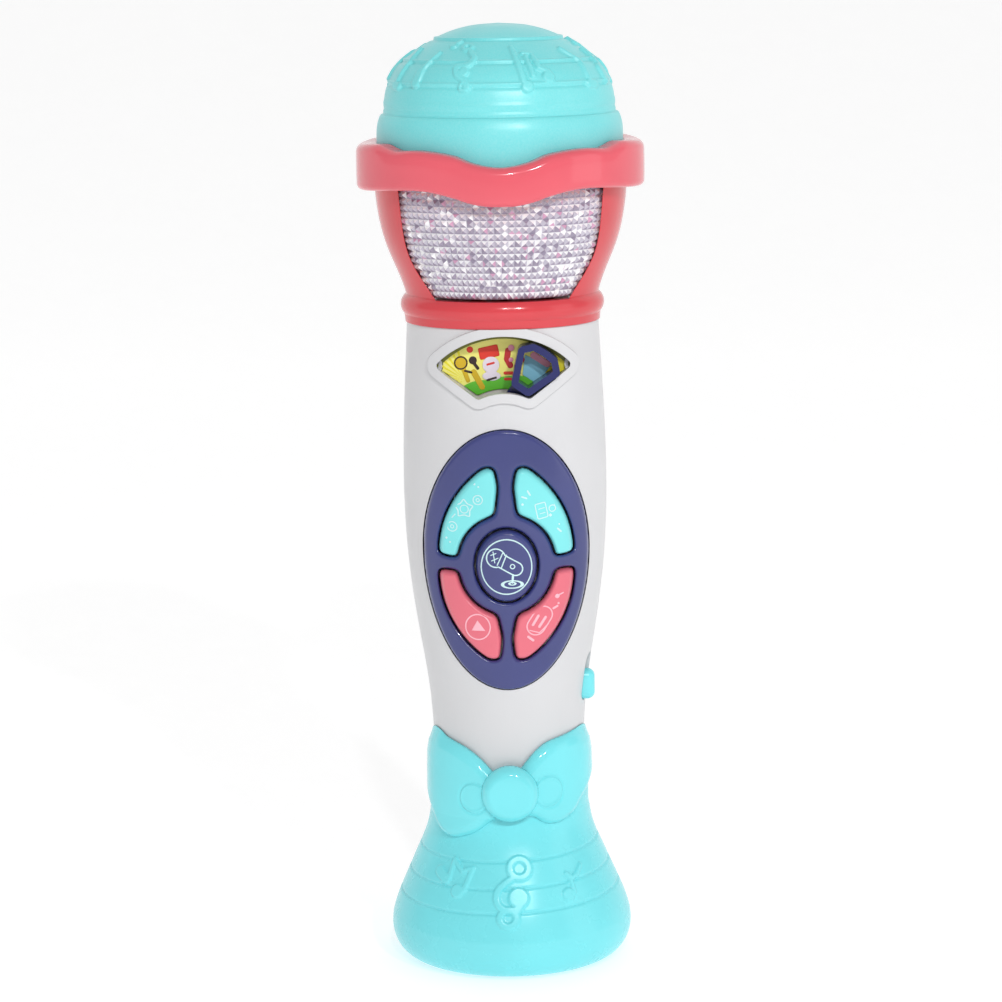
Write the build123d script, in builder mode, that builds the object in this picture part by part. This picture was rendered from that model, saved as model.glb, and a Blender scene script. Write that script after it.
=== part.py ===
from build123d import *
import os
from math import cos, sin, tan, radians

# Toy microphone.  Millimetres, +Z up, front towards -Y, origin under the centre of the base.
os.makedirs("parts", exist_ok=True)

# ------------------------------------------------------------------ driving sizes
TOTAL_HEIGHT = 240.3          # floor to the top of the dome
WALL = 2.0                    # moulded shell thickness
FIT = 0.15                    # gap round a piece that is set into another
SLIDE_GAP = 0.3               # gap round a piece that moves

GRIP_BOTTOM = 41.5
GRIP_TOP = 166.0
GRIP_LINE = [(19.0, GRIP_BOTTOM), (19.3, 55), (20.2, 70), (22.6, 86), (24.8, 102),
             (25.9, 122), (25.4, 145), (24.3, GRIP_TOP)]       # (radius, height)

CAGE_LINE = [(24.4, 173.0), (26.5, 179), (29.0, 185.1), (31.2, 194.3), (31.9, 203.4)]
CAGE_WALL = 1.7
LENS_WALL = 1.6
NECK_FLOOR = 171.4
NECK_FLOOR_TOP = 173.2
WINDOW_LINE = [(16.5, 172.7), (19.0, 176.5), (23.0, 184), (24.3, 190), (25.4, 201.6)]

RING_OUTER = 36.3
RING_TOP = [(0, 206.4), (8.2, 207.6), (14.5, 209.5), (22.8, 210.4),
            (28.2, 210.4), (32.2, 211.6), (37.5, 211.2)]             # (sideways, height)
RING_BOTTOM = [(0, 197.0), (8.2, 197.9), (14.5, 199.8), (22.8, 200.6),
               (29.0, 200.1), (37.5, 199.3)]

DOME_BOTTOM = 203.7
DOME_RADIUS = 31.0
DECK_HEIGHT = 204.0

BASE_RADIUS = 31.0
BASE_EDGE = 8.8               # rounding of the base's lower edge
COLLAR_RADIUS = 20.35
COLLAR_TOP = 51.0
BASE_LIFT = 0.4               # the foot ring stands this much proud of the base

PANEL_MID = 110.0             # widest height of the button panel
PANEL_HALF_WIDTH = 20.9
PANEL_UP = 31.2
PANEL_DOWN = 35.8
PANEL_PROUD = 0.8
BUTTON_PROUD = 1.9
CENTER_BUTTON_Z = 107.3

PIVOT_Z = 145.0               # the picture selector turns about this height
SELECTOR_REST = 34.5          # degrees clockwise from straight up, seen from the front
CARD_FRONT = 17.4             # distances in front of the grip's axis
CARRIER_FRONT = 17.0
CARRIER_BACK = 15.4
SELECTOR_BACK = 18.2
SELECTOR_ARM_FRONT = 20.4
HUB_RADIUS = 2.5

CELL_RADIUS = 7.15            # AA cell
CELL_X = 7.4
CELL_Y = 5.5
CELL_GAP = 3.2                # room for a contact spring
POCKET_BOTTOM = 55.3
POCKET_TOP = 108.9

DOOR_HALF_WIDTH = 14.9
DOOR_BOTTOM = 55.5
DOOR_TOP = 111.0

SPEAKER_Z = 137.0
SPEAKER_RADIUS = 17.8

KNOB_Y = -5.0
KNOB_Z = 72.0
KNOB_TRAVEL = 4.0

WIRE_RADIUS = 0.6


# ------------------------------------------------------------------ shared shapes
def front_plane(distance):
    """Plane facing the front, with x to the right and y up, this far in front of the axis."""
    return Plane(origin=(0, -distance, 0), x_dir=(1, 0, 0), z_dir=(0, -1, 0))


def grip_layer(inner, outer):
    """Ring that follows the grip's outline, from inner to outer beyond its surface."""
    with BuildPart() as layer:
        with BuildSketch(Plane.XZ):
            with BuildLine():
                inside = Spline(*[(r + inner, z) for r, z in GRIP_LINE])
                outside = Spline(*[(r + outer, z) for r, z in GRIP_LINE])
                Line(inside @ 0, outside @ 0)
                Line(inside @ 1, outside @ 1)
            make_face()
        revolve(axis=Axis.Z)
    return layer.part


def grip_core(outer):
    """Solid body that follows the grip's outline, outer beyond its surface."""
    with BuildPart() as core:
        with BuildSketch(Plane.XZ):
            with BuildLine():
                outside = Spline(*[(r + outer, z) for r, z in GRIP_LINE])
                Polyline(outside @ 0, (0, GRIP_BOTTOM), (0, GRIP_TOP), outside @ 1)
            make_face()
        revolve(axis=Axis.Z)
    return core.part


def ring_of_revolution(points):
    """Turned body from a straight-sided outline of (radius, height) points."""
    with BuildPart() as ring:
        with BuildSketch(Plane.XZ):
            with BuildLine():
                Polyline(*points, close=True)
            make_face()
        revolve(axis=Axis.Z)
    return ring.part


def panel_outline(plane, grow=0.0):
    """Egg-shaped outline of the button panel."""
    with BuildSketch(plane) as oval:
        with BuildLine():
            EllipticalCenterArc((0, PANEL_MID), PANEL_HALF_WIDTH + grow, PANEL_UP + grow, 0, arc_size=180)
            EllipticalCenterArc((0, PANEL_MID), PANEL_HALF_WIDTH + grow, PANEL_DOWN + grow,
                                180, arc_size=180)
        make_face()
    return oval.sketch


def button_outline(plane, upper, side, grow=0.0):
    """One of the four petal buttons: a curved wedge between the centre button and the rim."""
    if upper:
        outer = [(-16.6, 110.0), (-13.0, 123.8), (-2.6, 132.9)]
        inner = [(-2.9, 120.6), (-9.2, 116.8), (-12.2, 109.5)]
    else:
        outer = [(-16.7, 106.2), (-13.2, 91.9), (-1.6, 82.2)]
        inner = [(-1.7, 94.7), (-8.4, 98.4), (-12.4, 106.5)]
    outer = [(-side * x, z) for x, z in outer]
    inner = [(-side * x, z) for x, z in inner]
    with BuildSketch(plane) as petal:
        with BuildLine():
            ThreePointArc(*outer)
            Line(outer[2], inner[0])
            ThreePointArc(*inner)
            Line(inner[2], outer[0])
        make_face()
        fillet(petal.vertices(), 1.7)
        if grow:
            offset(amount=grow)
    return petal.sketch


def center_outline(plane, grow=0.0):
    """Upright oval of the centre button."""
    with BuildSketch(plane) as oval:
        with Locations((0, CENTER_BUTTON_Z)):
            Ellipse(7.95 + grow, 9.5 + grow)
    return oval.sketch


def fan_outline(plane, grow=0.0):
    """Fan-shaped picture window."""
    with BuildSketch(plane) as fan:
        with BuildLine():
            ThreePointArc((-17.2, 156.4), (0, 164.3), (17.2, 156.4))
            Line((17.2, 156.4), (6.4, 148.6))
            ThreePointArc((6.4, 148.6), (0, 150.2), (-6.4, 148.6))
            Line((-6.4, 148.6), (-17.2, 156.4))
        make_face()
        fillet(fan.vertices(), 1.2)
        if grow:
            offset(amount=grow)
    return fan.sketch


def circles(plane, radius, places):
    """Circles of one radius on a plane."""
    with BuildSketch(plane) as dots:
        with Locations(*places):
            Circle(radius)
    return dots.sketch


def wing_outline(side):
    """One wing of the bow; the bow leans, so its left wing hangs lower than its right one."""
    if side < 0:
        upper = [(4.9, 52.9), (8.0, 55.7), (11.1, 57.8), (14.2, 59.2), (17.7, 60.3), (20.3, 61.0)]
        lower = [(20.4, 39.6), (19.1, 36.9), (15.0, 34.7), (9.0, 37.0), (5.2, 40.0)]
    else:
        upper = [(4.9, 55.2), (8.4, 58.6), (11.3, 60.1), (15.5, 60.8), (18.9, 61.1), (20.6, 60.4)]
        lower = [(20.4, 46.4), (18.9, 43.4), (14.5, 38.8), (9.0, 38.9), (5.6, 41.4)]
    with BuildSketch(front_plane(-3)) as outline:
        with BuildLine():
            Spline(*[(side * x, z) for x, z in upper + [(21.4, 53.5)] + lower], periodic=True)
        make_face()
    return outline.sketch


def rooted_posts(radius, places, amount):
    """Screw bosses from the parting plane that end inside the grip's skin."""
    with BuildPart() as posts:
        extrude(circles(front_plane(0), radius, places), amount=amount)
        add(grip_core(-1.0), mode=Mode.INTERSECT)
    return posts.part


def save(piece, name):
    """Label a finished sub-part and write it to its own file."""
    piece.part.label = name
    export_step(piece.part, f"parts/{name}.step")


def wire(radius, *points):
    """One insulated lead along straight runs joined by arcs as large as the runs allow."""
    corners = [Vector(*point) for point in points]
    bends = []
    for before, corner, after in zip(corners, corners[1:], corners[2:]):
        run_in = corner - before
        run_out = after - corner
        turn = radians(run_in.get_angle(run_out))
        bends.append(0.45 * min(run_in.length, run_out.length) / tan(turn / 2))
    with BuildPart() as lead:
        with BuildLine() as route:
            FilletPolyline(*points, radius=bends)
        with BuildSketch(Plane(origin=route.line @ 0, z_dir=route.line % 0)):
            Circle(radius)
        sweep()
    return lead.part


BUTTONS = {
    "button_teal_left": (True, -1),
    "button_teal_right": (True, 1),
    "button_pink_left": (False, -1),
    "button_pink_right": (False, 1),
}
STEM_PLACES = [(-9.6, 121.5), (9.6, 121.5), (-9.6, 94.5), (9.6, 94.5), (0, CENTER_BUTTON_Z)]
CASE_SCREWS = [(-18.2, 156.5), (18.2, 156.5), (-10, 48.3), (10, 48.3)]
BOARD_POSTS = [(-5.5, 136.8), (5.5, 136.8), (0, 78.0)]
CARRIER_POSTS = [(-11.6, 146.2), (11.6, 146.2)]
KEY_BOARD_BACK = 12.0
KEY_BOARD_FRONT = 13.6
MEMBRANE_FRONT = 14.6

skin = grip_layer(-WALL, 0)
inner_space = grip_core(-WALL - 0.4)

# ------------------------------------------------------------------ base
with BuildPart() as foot_ring:
    with BuildSketch():
        Circle(20.0)
        Circle(16.2, mode=Mode.SUBTRACT)
    extrude(amount=1.0)
save(foot_ring, "foot_ring")

COLUMN_PLACES = [(13.5 * cos(radians(a)), 13.5 * sin(radians(a))) for a in (0, 120, 240)]
with BuildPart() as base_plate:
    with BuildSketch(Plane.XY.offset(0.5)):
        Circle(20.45)
    extrude(amount=1.6)
    with BuildSketch(Plane.XY.offset(0.5)):
        Circle(20.05)
        Circle(16.15, mode=Mode.SUBTRACT)
    extrude(amount=0.5, mode=Mode.SUBTRACT)
    with Locations(*[Location((x, y, 0.5), (180, 0, 0)) for x, y in COLUMN_PLACES]):
        CounterBoreHole(1.3, 2.3, 0.9)
save(base_plate, "base_plate")

with BuildPart() as base_plate_screws:
    with BuildSketch(Plane.XY.offset(0.6)):
        with Locations(*COLUMN_PLACES):
            Circle(2.1)
    extrude(amount=0.8)
    with BuildSketch(Plane.XY.offset(1.4)):
        with Locations(*COLUMN_PLACES):
            Circle(1.0)
    extrude(amount=8)
save(base_plate_screws, "base_plate_screws")

edge_center = BASE_RADIUS - BASE_EDGE
with BuildPart() as base_cup:
    with BuildSketch(Plane.XZ):
        with BuildLine():
            low_edge = CenterArc((edge_center, BASE_LIFT + BASE_EDGE), BASE_EDGE, -90, 96)
            flare = Spline(low_edge @ 1, (29.1, 16.6), (25.1, 25.8), (21.7, 33.9), (COLLAR_RADIUS, 40.5),
                           tangents=[low_edge % 1, (0, 1)])
            Polyline(flare @ 1, (COLLAR_RADIUS, COLLAR_TOP), (19.35, COLLAR_TOP), (19.35, 41.4),
                     (10.0, 41.4), (10.0, 38.9), (18.4, 38.9))
            hollow = Spline((18.4, 38.9), (19.5, 33.9), (23.0, 25.4), (27.0, 16.0),
                            (28.9, BASE_LIFT + BASE_EDGE))
            under = ThreePointArc(hollow @ 1, (27.0, 4.6), (edge_center, 2.6))
            Polyline(under @ 1, (19.0, 2.6), (19.0, 2.15), (20.6, 2.15), (20.6, BASE_LIFT), low_edge @ 0)
        make_face()
    revolve(axis=Axis.Z)
    extrude(circles(Plane.XY.offset(2.15), 2.8, COLUMN_PLACES), amount=37.5)
    extrude(circles(Plane.XY.offset(2.1), 1.05, COLUMN_PLACES), amount=10, mode=Mode.SUBTRACT)
    extrude(circles(Plane.XY.offset(38), 1.4, [(0, -13.2), (0, 13.2)]), amount=4, mode=Mode.SUBTRACT)
save(base_cup, "base_cup")

with BuildPart() as base_screws:
    extrude(circles(Plane.XY.offset(37.2), 2.5, [(0, -13.2), (0, 13.2)]), amount=1.7)
    extrude(circles(Plane.XY.offset(38.9), 1.1, [(0, -13.2), (0, 13.2)]), amount=9)
save(base_screws, "base_screws")

# The bow hugs the collar: its back follows the cup, its face stands a little proud
KNOT_Z = 47.6
KNOT_RADIUS = 7.3
KNOT_FACE = 25.0
with BuildPart() as bow_band:
    with BuildSketch(Plane.XZ):
        with BuildLine():
            back = Polyline((COLLAR_RADIUS + 0.05, 62), (COLLAR_RADIUS + 0.05, 40.5))
            low = Spline(back @ 1, (21.75, 33.9), (22.9, 31.0))
            front = Polyline(low @ 1, (24.6, 31.0), (23.6, 34.0))
            face = Spline(front @ 1, (22.7, 40.5), (22.6, 50), (22.2, 62))
            Line(face @ 1, back @ 0)
        make_face()
    revolve(axis=Axis.Z)
with BuildPart() as bow_wings:
    extrude(wing_outline(-1), amount=33)
    extrude(wing_outline(1), amount=33)
with BuildPart() as bow:
    add(bow_band)
    add(bow_wings, mode=Mode.INTERSECT)
    with BuildSketch(front_plane(COLLAR_RADIUS + 0.05)):
        with Locations((0, KNOT_Z)):
            Circle(KNOT_RADIUS)
    extrude(amount=KNOT_FACE - COLLAR_RADIUS - 0.05)
    fillet(bow.faces().sort_by(Axis.Y)[0].edges(), 2.0)
save(bow, "bow")

# ------------------------------------------------------------------ grip shells
with BuildPart() as window_lip:
    add(grip_layer(-1.0, 0.8))
    extrude(fan_outline(front_plane(8), 2.4), amount=22, mode=Mode.INTERSECT)
with BuildPart() as carrier_bosses:
    extrude(circles(front_plane(CARRIER_FRONT), 2.6, CARRIER_POSTS), amount=4.6)
    add(grip_core(-1.0), mode=Mode.INTERSECT)
knob_slot_height = 8 + KNOB_TRAVEL + 2 * SLIDE_GAP
with BuildPart() as handle_front:
    add(skin)
    split(bisect_by=Plane.XZ, keep=Keep.TOP)
    extrude(panel_outline(front_plane(2), FIT), amount=30, mode=Mode.SUBTRACT)
    add(window_lip)
    extrude(fan_outline(front_plane(5)), amount=30, mode=Mode.SUBTRACT)
    add(rooted_posts(3.0, CASE_SCREWS, 30))
    extrude(circles(front_plane(0), 1.05, CASE_SCREWS), amount=8, mode=Mode.SUBTRACT)
    add(carrier_bosses)
    extrude(circles(front_plane(CARRIER_FRONT), 0.95, CARRIER_POSTS), amount=3.4, mode=Mode.SUBTRACT)
    extrude(circles(Plane.XY.offset(GRIP_BOTTOM), 3.0, [(0, -13.2)]), amount=9)
    with BuildSketch(Plane.XY.offset(GRIP_BOTTOM)):
        with Locations((0, -16.0)):
            Rectangle(2.4, 3.6)
    extrude(amount=9)
    extrude(circles(Plane.XY.offset(GRIP_BOTTOM), 1.15, [(0, -13.2)]), amount=7.5, mode=Mode.SUBTRACT)
    with BuildSketch(Plane.YZ.offset(12)):
        with Locations((KNOB_Y, KNOB_Z + KNOB_TRAVEL / 2)):
            SlotOverall(knob_slot_height, 4.4 + 2 * SLIDE_GAP, rotation=90)
    extrude(amount=12, mode=Mode.SUBTRACT)
save(handle_front, "handle_front")

GRILLE_RINGS = [(4.6, 6), (9.2, 12), (13.2, 18)]
grille = [(0, SPEAKER_Z)]
for ring_radius, count in GRILLE_RINGS:
    for i in range(count):
        turn = radians(360 / count * i)
        grille.append((ring_radius * cos(turn), SPEAKER_Z + ring_radius * sin(turn)))
door_middle = (DOOR_BOTTOM + DOOR_TOP) / 2
door_height = DOOR_TOP - DOOR_BOTTOM
DOOR_SCREW_Z = DOOR_TOP - 5.0
with BuildPart() as handle_rear:
    add(skin)
    split(bisect_by=Plane.XZ, keep=Keep.BOTTOM)
    with BuildSketch(front_plane(0)):
        with Locations((0, door_middle)):
            RectangleRounded(2 * (DOOR_HALF_WIDTH + SLIDE_GAP), door_height + 2 * SLIDE_GAP, 3.3)
    extrude(amount=-40, mode=Mode.SUBTRACT)
    add(rooted_posts(3.0, CASE_SCREWS, -30))
    extrude(circles(front_plane(0), 1.3, CASE_SCREWS), amount=-10, mode=Mode.SUBTRACT)
    extrude(circles(front_plane(-8), 2.5, CASE_SCREWS), amount=-20, mode=Mode.SUBTRACT)
    extrude(circles(front_plane(-15), 1.1, grille), amount=-15, mode=Mode.SUBTRACT)
    extrude(circles(Plane.XY.offset(GRIP_BOTTOM), 3.0, [(0, 13.2)]), amount=9)
    with BuildSketch(Plane.XY.offset(GRIP_BOTTOM)):
        with Locations((0, 16.0)):
            Rectangle(2.4, 3.6)
    extrude(amount=9)
    extrude(circles(Plane.XY.offset(GRIP_BOTTOM), 1.15, [(0, 13.2)]), amount=7.5, mode=Mode.SUBTRACT)
save(handle_rear, "handle_rear")

with BuildPart() as case_screws:
    extrude(circles(front_plane(-8), 2.2, CASE_SCREWS), amount=-1.6)
    extrude(circles(front_plane(-8), 1.0, CASE_SCREWS), amount=14)
save(case_screws, "case_screws")

# ------------------------------------------------------------------ button panel
with BuildPart() as panel_flange:
    add(grip_layer(-3.2, -WALL - 0.1))
    extrude(panel_outline(front_plane(6), 1.6), amount=30, mode=Mode.INTERSECT)
    extrude(panel_outline(front_plane(2), -1.2), amount=30, mode=Mode.SUBTRACT)
with BuildPart() as panel_posts:
    extrude(circles(front_plane(KEY_BOARD_FRONT), 1.9, BOARD_POSTS), amount=16)
    add(grip_core(-0.5), mode=Mode.INTERSECT)
with BuildPart() as control_panel:
    add(grip_layer(-WALL - 0.1, PANEL_PROUD))
    extrude(panel_outline(front_plane(2)), amount=30, mode=Mode.INTERSECT)
    add(panel_flange)
    add(panel_posts)
    for upper, side in BUTTONS.values():
        extrude(button_outline(front_plane(5), upper, side, SLIDE_GAP), amount=30, mode=Mode.SUBTRACT)
    extrude(center_outline(front_plane(5), SLIDE_GAP), amount=30, mode=Mode.SUBTRACT)
    extrude(circles(front_plane(KEY_BOARD_FRONT), 0.95, BOARD_POSTS), amount=6, mode=Mode.SUBTRACT)
save(control_panel, "control_panel")

button_cap = grip_layer(-3.4, BUTTON_PROUD)
button_flange = grip_layer(-3.4, -WALL - 0.5)
STEM_END = 16.3
for (name, (upper, side)), place in zip(BUTTONS.items(), STEM_PLACES):
    with BuildPart() as flange:
        add(button_flange)
        extrude(button_outline(front_plane(5), upper, side, 0.9), amount=30, mode=Mode.INTERSECT)
    with BuildPart() as button:
        add(button_cap)
        extrude(button_outline(front_plane(5), upper, side), amount=30, mode=Mode.INTERSECT)
        add(flange)
        extrude(circles(front_plane(STEM_END), 2.0, [place]), amount=5.5)
    save(button, name)

with BuildPart() as center_flange:
    add(button_flange)
    extrude(center_outline(front_plane(5), 0.9), amount=30, mode=Mode.INTERSECT)
with BuildPart() as button_center:
    add(button_cap)
    extrude(center_outline(front_plane(5)), amount=30, mode=Mode.INTERSECT)
    add(center_flange)
    extrude(circles(front_plane(STEM_END), 2.0, [STEM_PLACES[4]]), amount=6)
save(button_center, "button_center")

with BuildPart() as keypad_membrane:
    with BuildSketch(front_plane(KEY_BOARD_FRONT)):
        with Locations((0, 107.2)):
            RectangleRounded(26, 53.0, 3)
    extrude(amount=MEMBRANE_FRONT - KEY_BOARD_FRONT)
    extrude(circles(front_plane(MEMBRANE_FRONT), 3.0, STEM_PLACES), amount=0.3)
    add(grip_core(-WALL - 2.4), mode=Mode.INTERSECT)
save(keypad_membrane, "keypad_membrane")

with BuildPart() as key_board:
    with BuildSketch(front_plane(KEY_BOARD_BACK)):
        with Locations((0, 107.5)):
            RectangleRounded(27, 64.0, 2)
        with Locations(*BOARD_POSTS):
            Circle(1.1, mode=Mode.SUBTRACT)
    extrude(amount=KEY_BOARD_FRONT - KEY_BOARD_BACK)
    add(grip_core(-WALL - 2.4), mode=Mode.INTERSECT)
save(key_board, "key_board")

with BuildPart() as key_board_screws:
    extrude(circles(front_plane(10.7), 1.8, BOARD_POSTS), amount=1.3)
    extrude(circles(front_plane(10.7), 0.9, BOARD_POSTS), amount=7.5)
save(key_board_screws, "key_board_screws")

# ------------------------------------------------------------------ picture window and selector
with BuildPart() as carrier_wall:
    extrude(fan_outline(front_plane(CARRIER_BACK), 1.5), amount=12)
    extrude(fan_outline(front_plane(CARRIER_BACK), 0.4), amount=12, mode=Mode.SUBTRACT)
    add(grip_core(-WALL - 0.05), mode=Mode.INTERSECT)
    with BuildSketch(front_plane(CARRIER_FRONT)):
        with Locations((0, 146.0)):
            Rectangle(19, 12)
    extrude(amount=12, mode=Mode.SUBTRACT)
with BuildPart() as card_carrier:
    with BuildSketch(front_plane(CARRIER_BACK)):
        add(fan_outline(Plane.XY, 1.5))
        with Locations((0, PIVOT_Z)):
            Circle(6.5)
        with Locations(*CARRIER_POSTS):
            Circle(3.2)
        with Locations((0, 147.2)):
            Rectangle(23, 4.5)
    extrude(amount=CARRIER_FRONT - CARRIER_BACK)
    add(grip_core(-WALL - 1.6), mode=Mode.INTERSECT)
    add(carrier_wall)
    hub_hole = circles(front_plane(CARRIER_BACK), HUB_RADIUS + 0.06, [(0, PIVOT_Z)])
    extrude(hub_hole, amount=2, mode=Mode.SUBTRACT)
    extrude(circles(front_plane(CARRIER_BACK), 1.1, CARRIER_POSTS), amount=2, mode=Mode.SUBTRACT)
    extrude(circles(front_plane(10), 3.2, CASE_SCREWS), amount=14, mode=Mode.SUBTRACT)
save(card_carrier, "card_carrier")

with BuildPart() as carrier_screws:
    extrude(circles(front_plane(CARRIER_BACK), 1.9, CARRIER_POSTS), amount=-1.3)
    extrude(circles(front_plane(CARRIER_BACK), 0.9, CARRIER_POSTS), amount=4.5)
save(carrier_screws, "carrier_screws")

with BuildPart() as picture_card:
    extrude(fan_outline(front_plane(CARRIER_FRONT), -0.1), amount=CARD_FRONT - CARRIER_FRONT)
    extrude(circles(front_plane(10), 3.2, CASE_SCREWS), amount=14, mode=Mode.SUBTRACT)
save(picture_card, "picture_card")

rest = radians(SELECTOR_REST)


def selector_plane(distance):
    """Front-facing plane on the selector's pivot, with y along its arm at rest."""
    return Plane(origin=(0, -distance, PIVOT_Z), x_dir=(cos(rest), 0, -sin(rest)), z_dir=(0, -1, 0))


with BuildPart() as selector_frame:
    with BuildSketch(selector_plane(SELECTOR_BACK)) as bar:
        with BuildLine():
            Polyline((3.6, 18.5), (6.2, 15.8), (2.6, 6.9), (-2.6, 6.9), (-6.2, 15.8), (-3.6, 18.5))
            ThreePointArc((-3.6, 18.5), (0, 18.9), (3.6, 18.5))
        make_face()
        fillet(bar.vertices(), 1.4)
        offset(amount=-1.7, mode=Mode.SUBTRACT)
    extrude(amount=9)
    with Locations(Plane(origin=(0, -SELECTOR_BACK, PIVOT_Z), z_dir=(0, -1, 0))):
        Cone(76, 0.1, 7.8, align=(Align.CENTER, Align.CENTER, Align.MIN), mode=Mode.INTERSECT)
    with BuildSketch(selector_plane(SELECTOR_BACK)):
        Circle(4.2)
        with Locations((0, 4.2)):
            Rectangle(4.2, 8.4)
    extrude(amount=SELECTOR_ARM_FRONT - SELECTOR_BACK)
    extrude(circles(front_plane(13.9), HUB_RADIUS, [(0, PIVOT_Z)]), amount=SELECTOR_BACK - 13.9)
    extrude(circles(front_plane(13.9), 0.85, [(0, PIVOT_Z)]), amount=5, mode=Mode.SUBTRACT)
save(selector_frame, "selector_frame")

with BuildPart() as selector_board:
    with BuildSketch(front_plane(14.3)):
        with Locations((0, PIVOT_Z + 1.5)):
            RectangleRounded(15, 14, 2)
        with Locations((0, PIVOT_Z)):
            Circle(3.0, mode=Mode.SUBTRACT)
    extrude(amount=1.0)
save(selector_board, "selector_board")

with BuildPart() as selector_wiper:
    with BuildSketch(selector_plane(13.5)):
        Circle(3.4)
        with Locations((0, 3.5)):
            Rectangle(2.4, 3.4)
        Circle(0.95, mode=Mode.SUBTRACT)
    extrude(amount=0.35)
save(selector_wiper, "selector_wiper")

with BuildPart() as selector_screw:
    extrude(circles(front_plane(12.4), 1.9, [(0, PIVOT_Z)]), amount=1.1)
    extrude(circles(front_plane(12.4), 0.8, [(0, PIVOT_Z)]), amount=6.0)
save(selector_screw, "selector_screw")

# ------------------------------------------------------------------ electronics in the grip
with BuildPart() as main_board:
    with BuildSketch(front_plane(4.4)):
        with Locations((0, 88.5)):
            RectangleRounded(22.8, 57, 1)
    extrude(amount=1.6)
save(main_board, "main_board")

with BuildPart() as sound_chip:
    with BuildSketch(front_plane(6.0)):
        with Locations((0, 92)):
            Circle(5.0)
    extrude(amount=1.6)
    fillet(sound_chip.faces().sort_by(Axis.Y)[0].edges(), 1.2)
save(sound_chip, "sound_chip")

with BuildPart() as capacitors:
    extrude(circles(front_plane(6.0), 2.5, [(-6, 108), (6.5, 76)]), amount=5.2)
save(capacitors, "capacitors")

with BuildPart() as power_switch:
    with BuildSketch(Plane.YZ.offset(11.8)):
        with Locations((-6.3, KNOB_Z)):
            Rectangle(5.0, 15)
    extrude(amount=3.0)
save(power_switch, "power_switch")

with BuildPart() as power_knob:
    with BuildSketch(Plane.YZ.offset(16.0)):
        with Locations((KNOB_Y, KNOB_Z)):
            SlotOverall(8.0, 4.4, rotation=90)
    extrude(amount=6.2)
    fillet(power_knob.faces().sort_by(Axis.X)[-1].edges(), 1.9)
    with BuildSketch(Plane.YZ.offset(15.2)):
        with Locations((KNOB_Y, KNOB_Z)):
            Rectangle(4.2, 11.0)
    extrude(amount=0.9)
save(power_knob, "power_knob")

# ------------------------------------------------------------------ battery compartment
with BuildPart() as battery_tray:
    with BuildSketch(Plane.XY.offset(POCKET_BOTTOM - 1.3)):
        with Locations((0, 4.3)):
            Rectangle(32.4, 14.0)
    extrude(amount=POCKET_TOP - POCKET_BOTTOM + 2.6)
    add(inner_space, mode=Mode.INTERSECT)
    with BuildSketch(Plane.XY.offset(POCKET_BOTTOM)):
        with Locations((0, 8.2)):
            Rectangle(29.8, 20.0)
    extrude(amount=POCKET_TOP - POCKET_BOTTOM, mode=Mode.SUBTRACT)
save(battery_tray, "battery_tray")


def cell_end(height, toward):
    """Height measured from one end of the pocket: up from its floor, or down from its roof."""
    return POCKET_BOTTOM + height if toward > 0 else POCKET_TOP - height


with BuildPart() as battery_cells:
    for x, toward in ((-CELL_X, 1), (CELL_X, -1)):
        case_end = POCKET_TOP - POCKET_BOTTOM - 1.5
        low = min(cell_end(CELL_GAP, toward), cell_end(case_end, toward))
        extrude(circles(Plane.XY.offset(low), CELL_RADIUS, [(x, CELL_Y)]), amount=case_end - CELL_GAP)
        extrude(circles(Plane.XY.offset(cell_end(case_end, toward)), 2.7, [(x, CELL_Y)]), amount=1.0 * toward)
save(battery_cells, "battery_cells")

with BuildPart() as battery_contacts:
    for x, toward in ((-CELL_X, 1), (CELL_X, -1)):
        for height in (0, POCKET_TOP - POCKET_BOTTOM - 0.4):
            low = min(cell_end(height, toward), cell_end(height + 0.4, toward))
            with BuildSketch(Plane.XY.offset(low)):
                with Locations((x, CELL_Y)):
                    Rectangle(9, 9)
            extrude(amount=0.4)
save(battery_contacts, "battery_contacts")

with BuildPart() as battery_springs:
    for x, toward in ((-CELL_X, 1), (CELL_X, -1)):
        for turn in range(4):
            height = 0.8 + 0.62 * turn
            with Locations((x, CELL_Y, cell_end(height, toward))):
                Torus(3.6 - 0.35 * turn, 0.38)
save(battery_springs, "battery_springs")

with BuildPart() as door_tabs:
    add(grip_layer(-3.6, -WALL - 0.35))
    with BuildSketch(front_plane(0)):
        with Locations((-3.5, DOOR_BOTTOM + 0.2), (3.5, DOOR_BOTTOM + 0.2)):
            Rectangle(4, 4.4)
    extrude(amount=-30, mode=Mode.INTERSECT)
with BuildPart() as tab_roots:
    add(grip_layer(-3.6, -1.0))
    with BuildSketch(front_plane(0)):
        with Locations((-3.5, DOOR_BOTTOM + 1.7), (3.5, DOOR_BOTTOM + 1.7)):
            Rectangle(4, 1.8)
    extrude(amount=-30, mode=Mode.INTERSECT)
with BuildPart() as battery_door:
    add(skin)
    with BuildSketch(front_plane(0)):
        with Locations((0, door_middle)):
            RectangleRounded(2 * DOOR_HALF_WIDTH, door_height, 3.0)
    extrude(amount=-40, mode=Mode.INTERSECT)
    add(door_tabs)
    add(tab_roots)
    extrude(circles(front_plane(-20), 1.3, [(0, DOOR_SCREW_Z)]), amount=-8, mode=Mode.SUBTRACT)
    extrude(circles(front_plane(-24.3), 2.3, [(0, DOOR_SCREW_Z)]), amount=-4, mode=Mode.SUBTRACT)
save(battery_door, "battery_door")

with BuildPart() as battery_door_screw:
    extrude(circles(front_plane(-24.35), 2.1, [(0, DOOR_SCREW_Z)]), amount=-0.9)
    extrude(circles(front_plane(-19.5), 1.15, [(0, DOOR_SCREW_Z)]), amount=-4.9)
save(battery_door_screw, "battery_door_screw")

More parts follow.
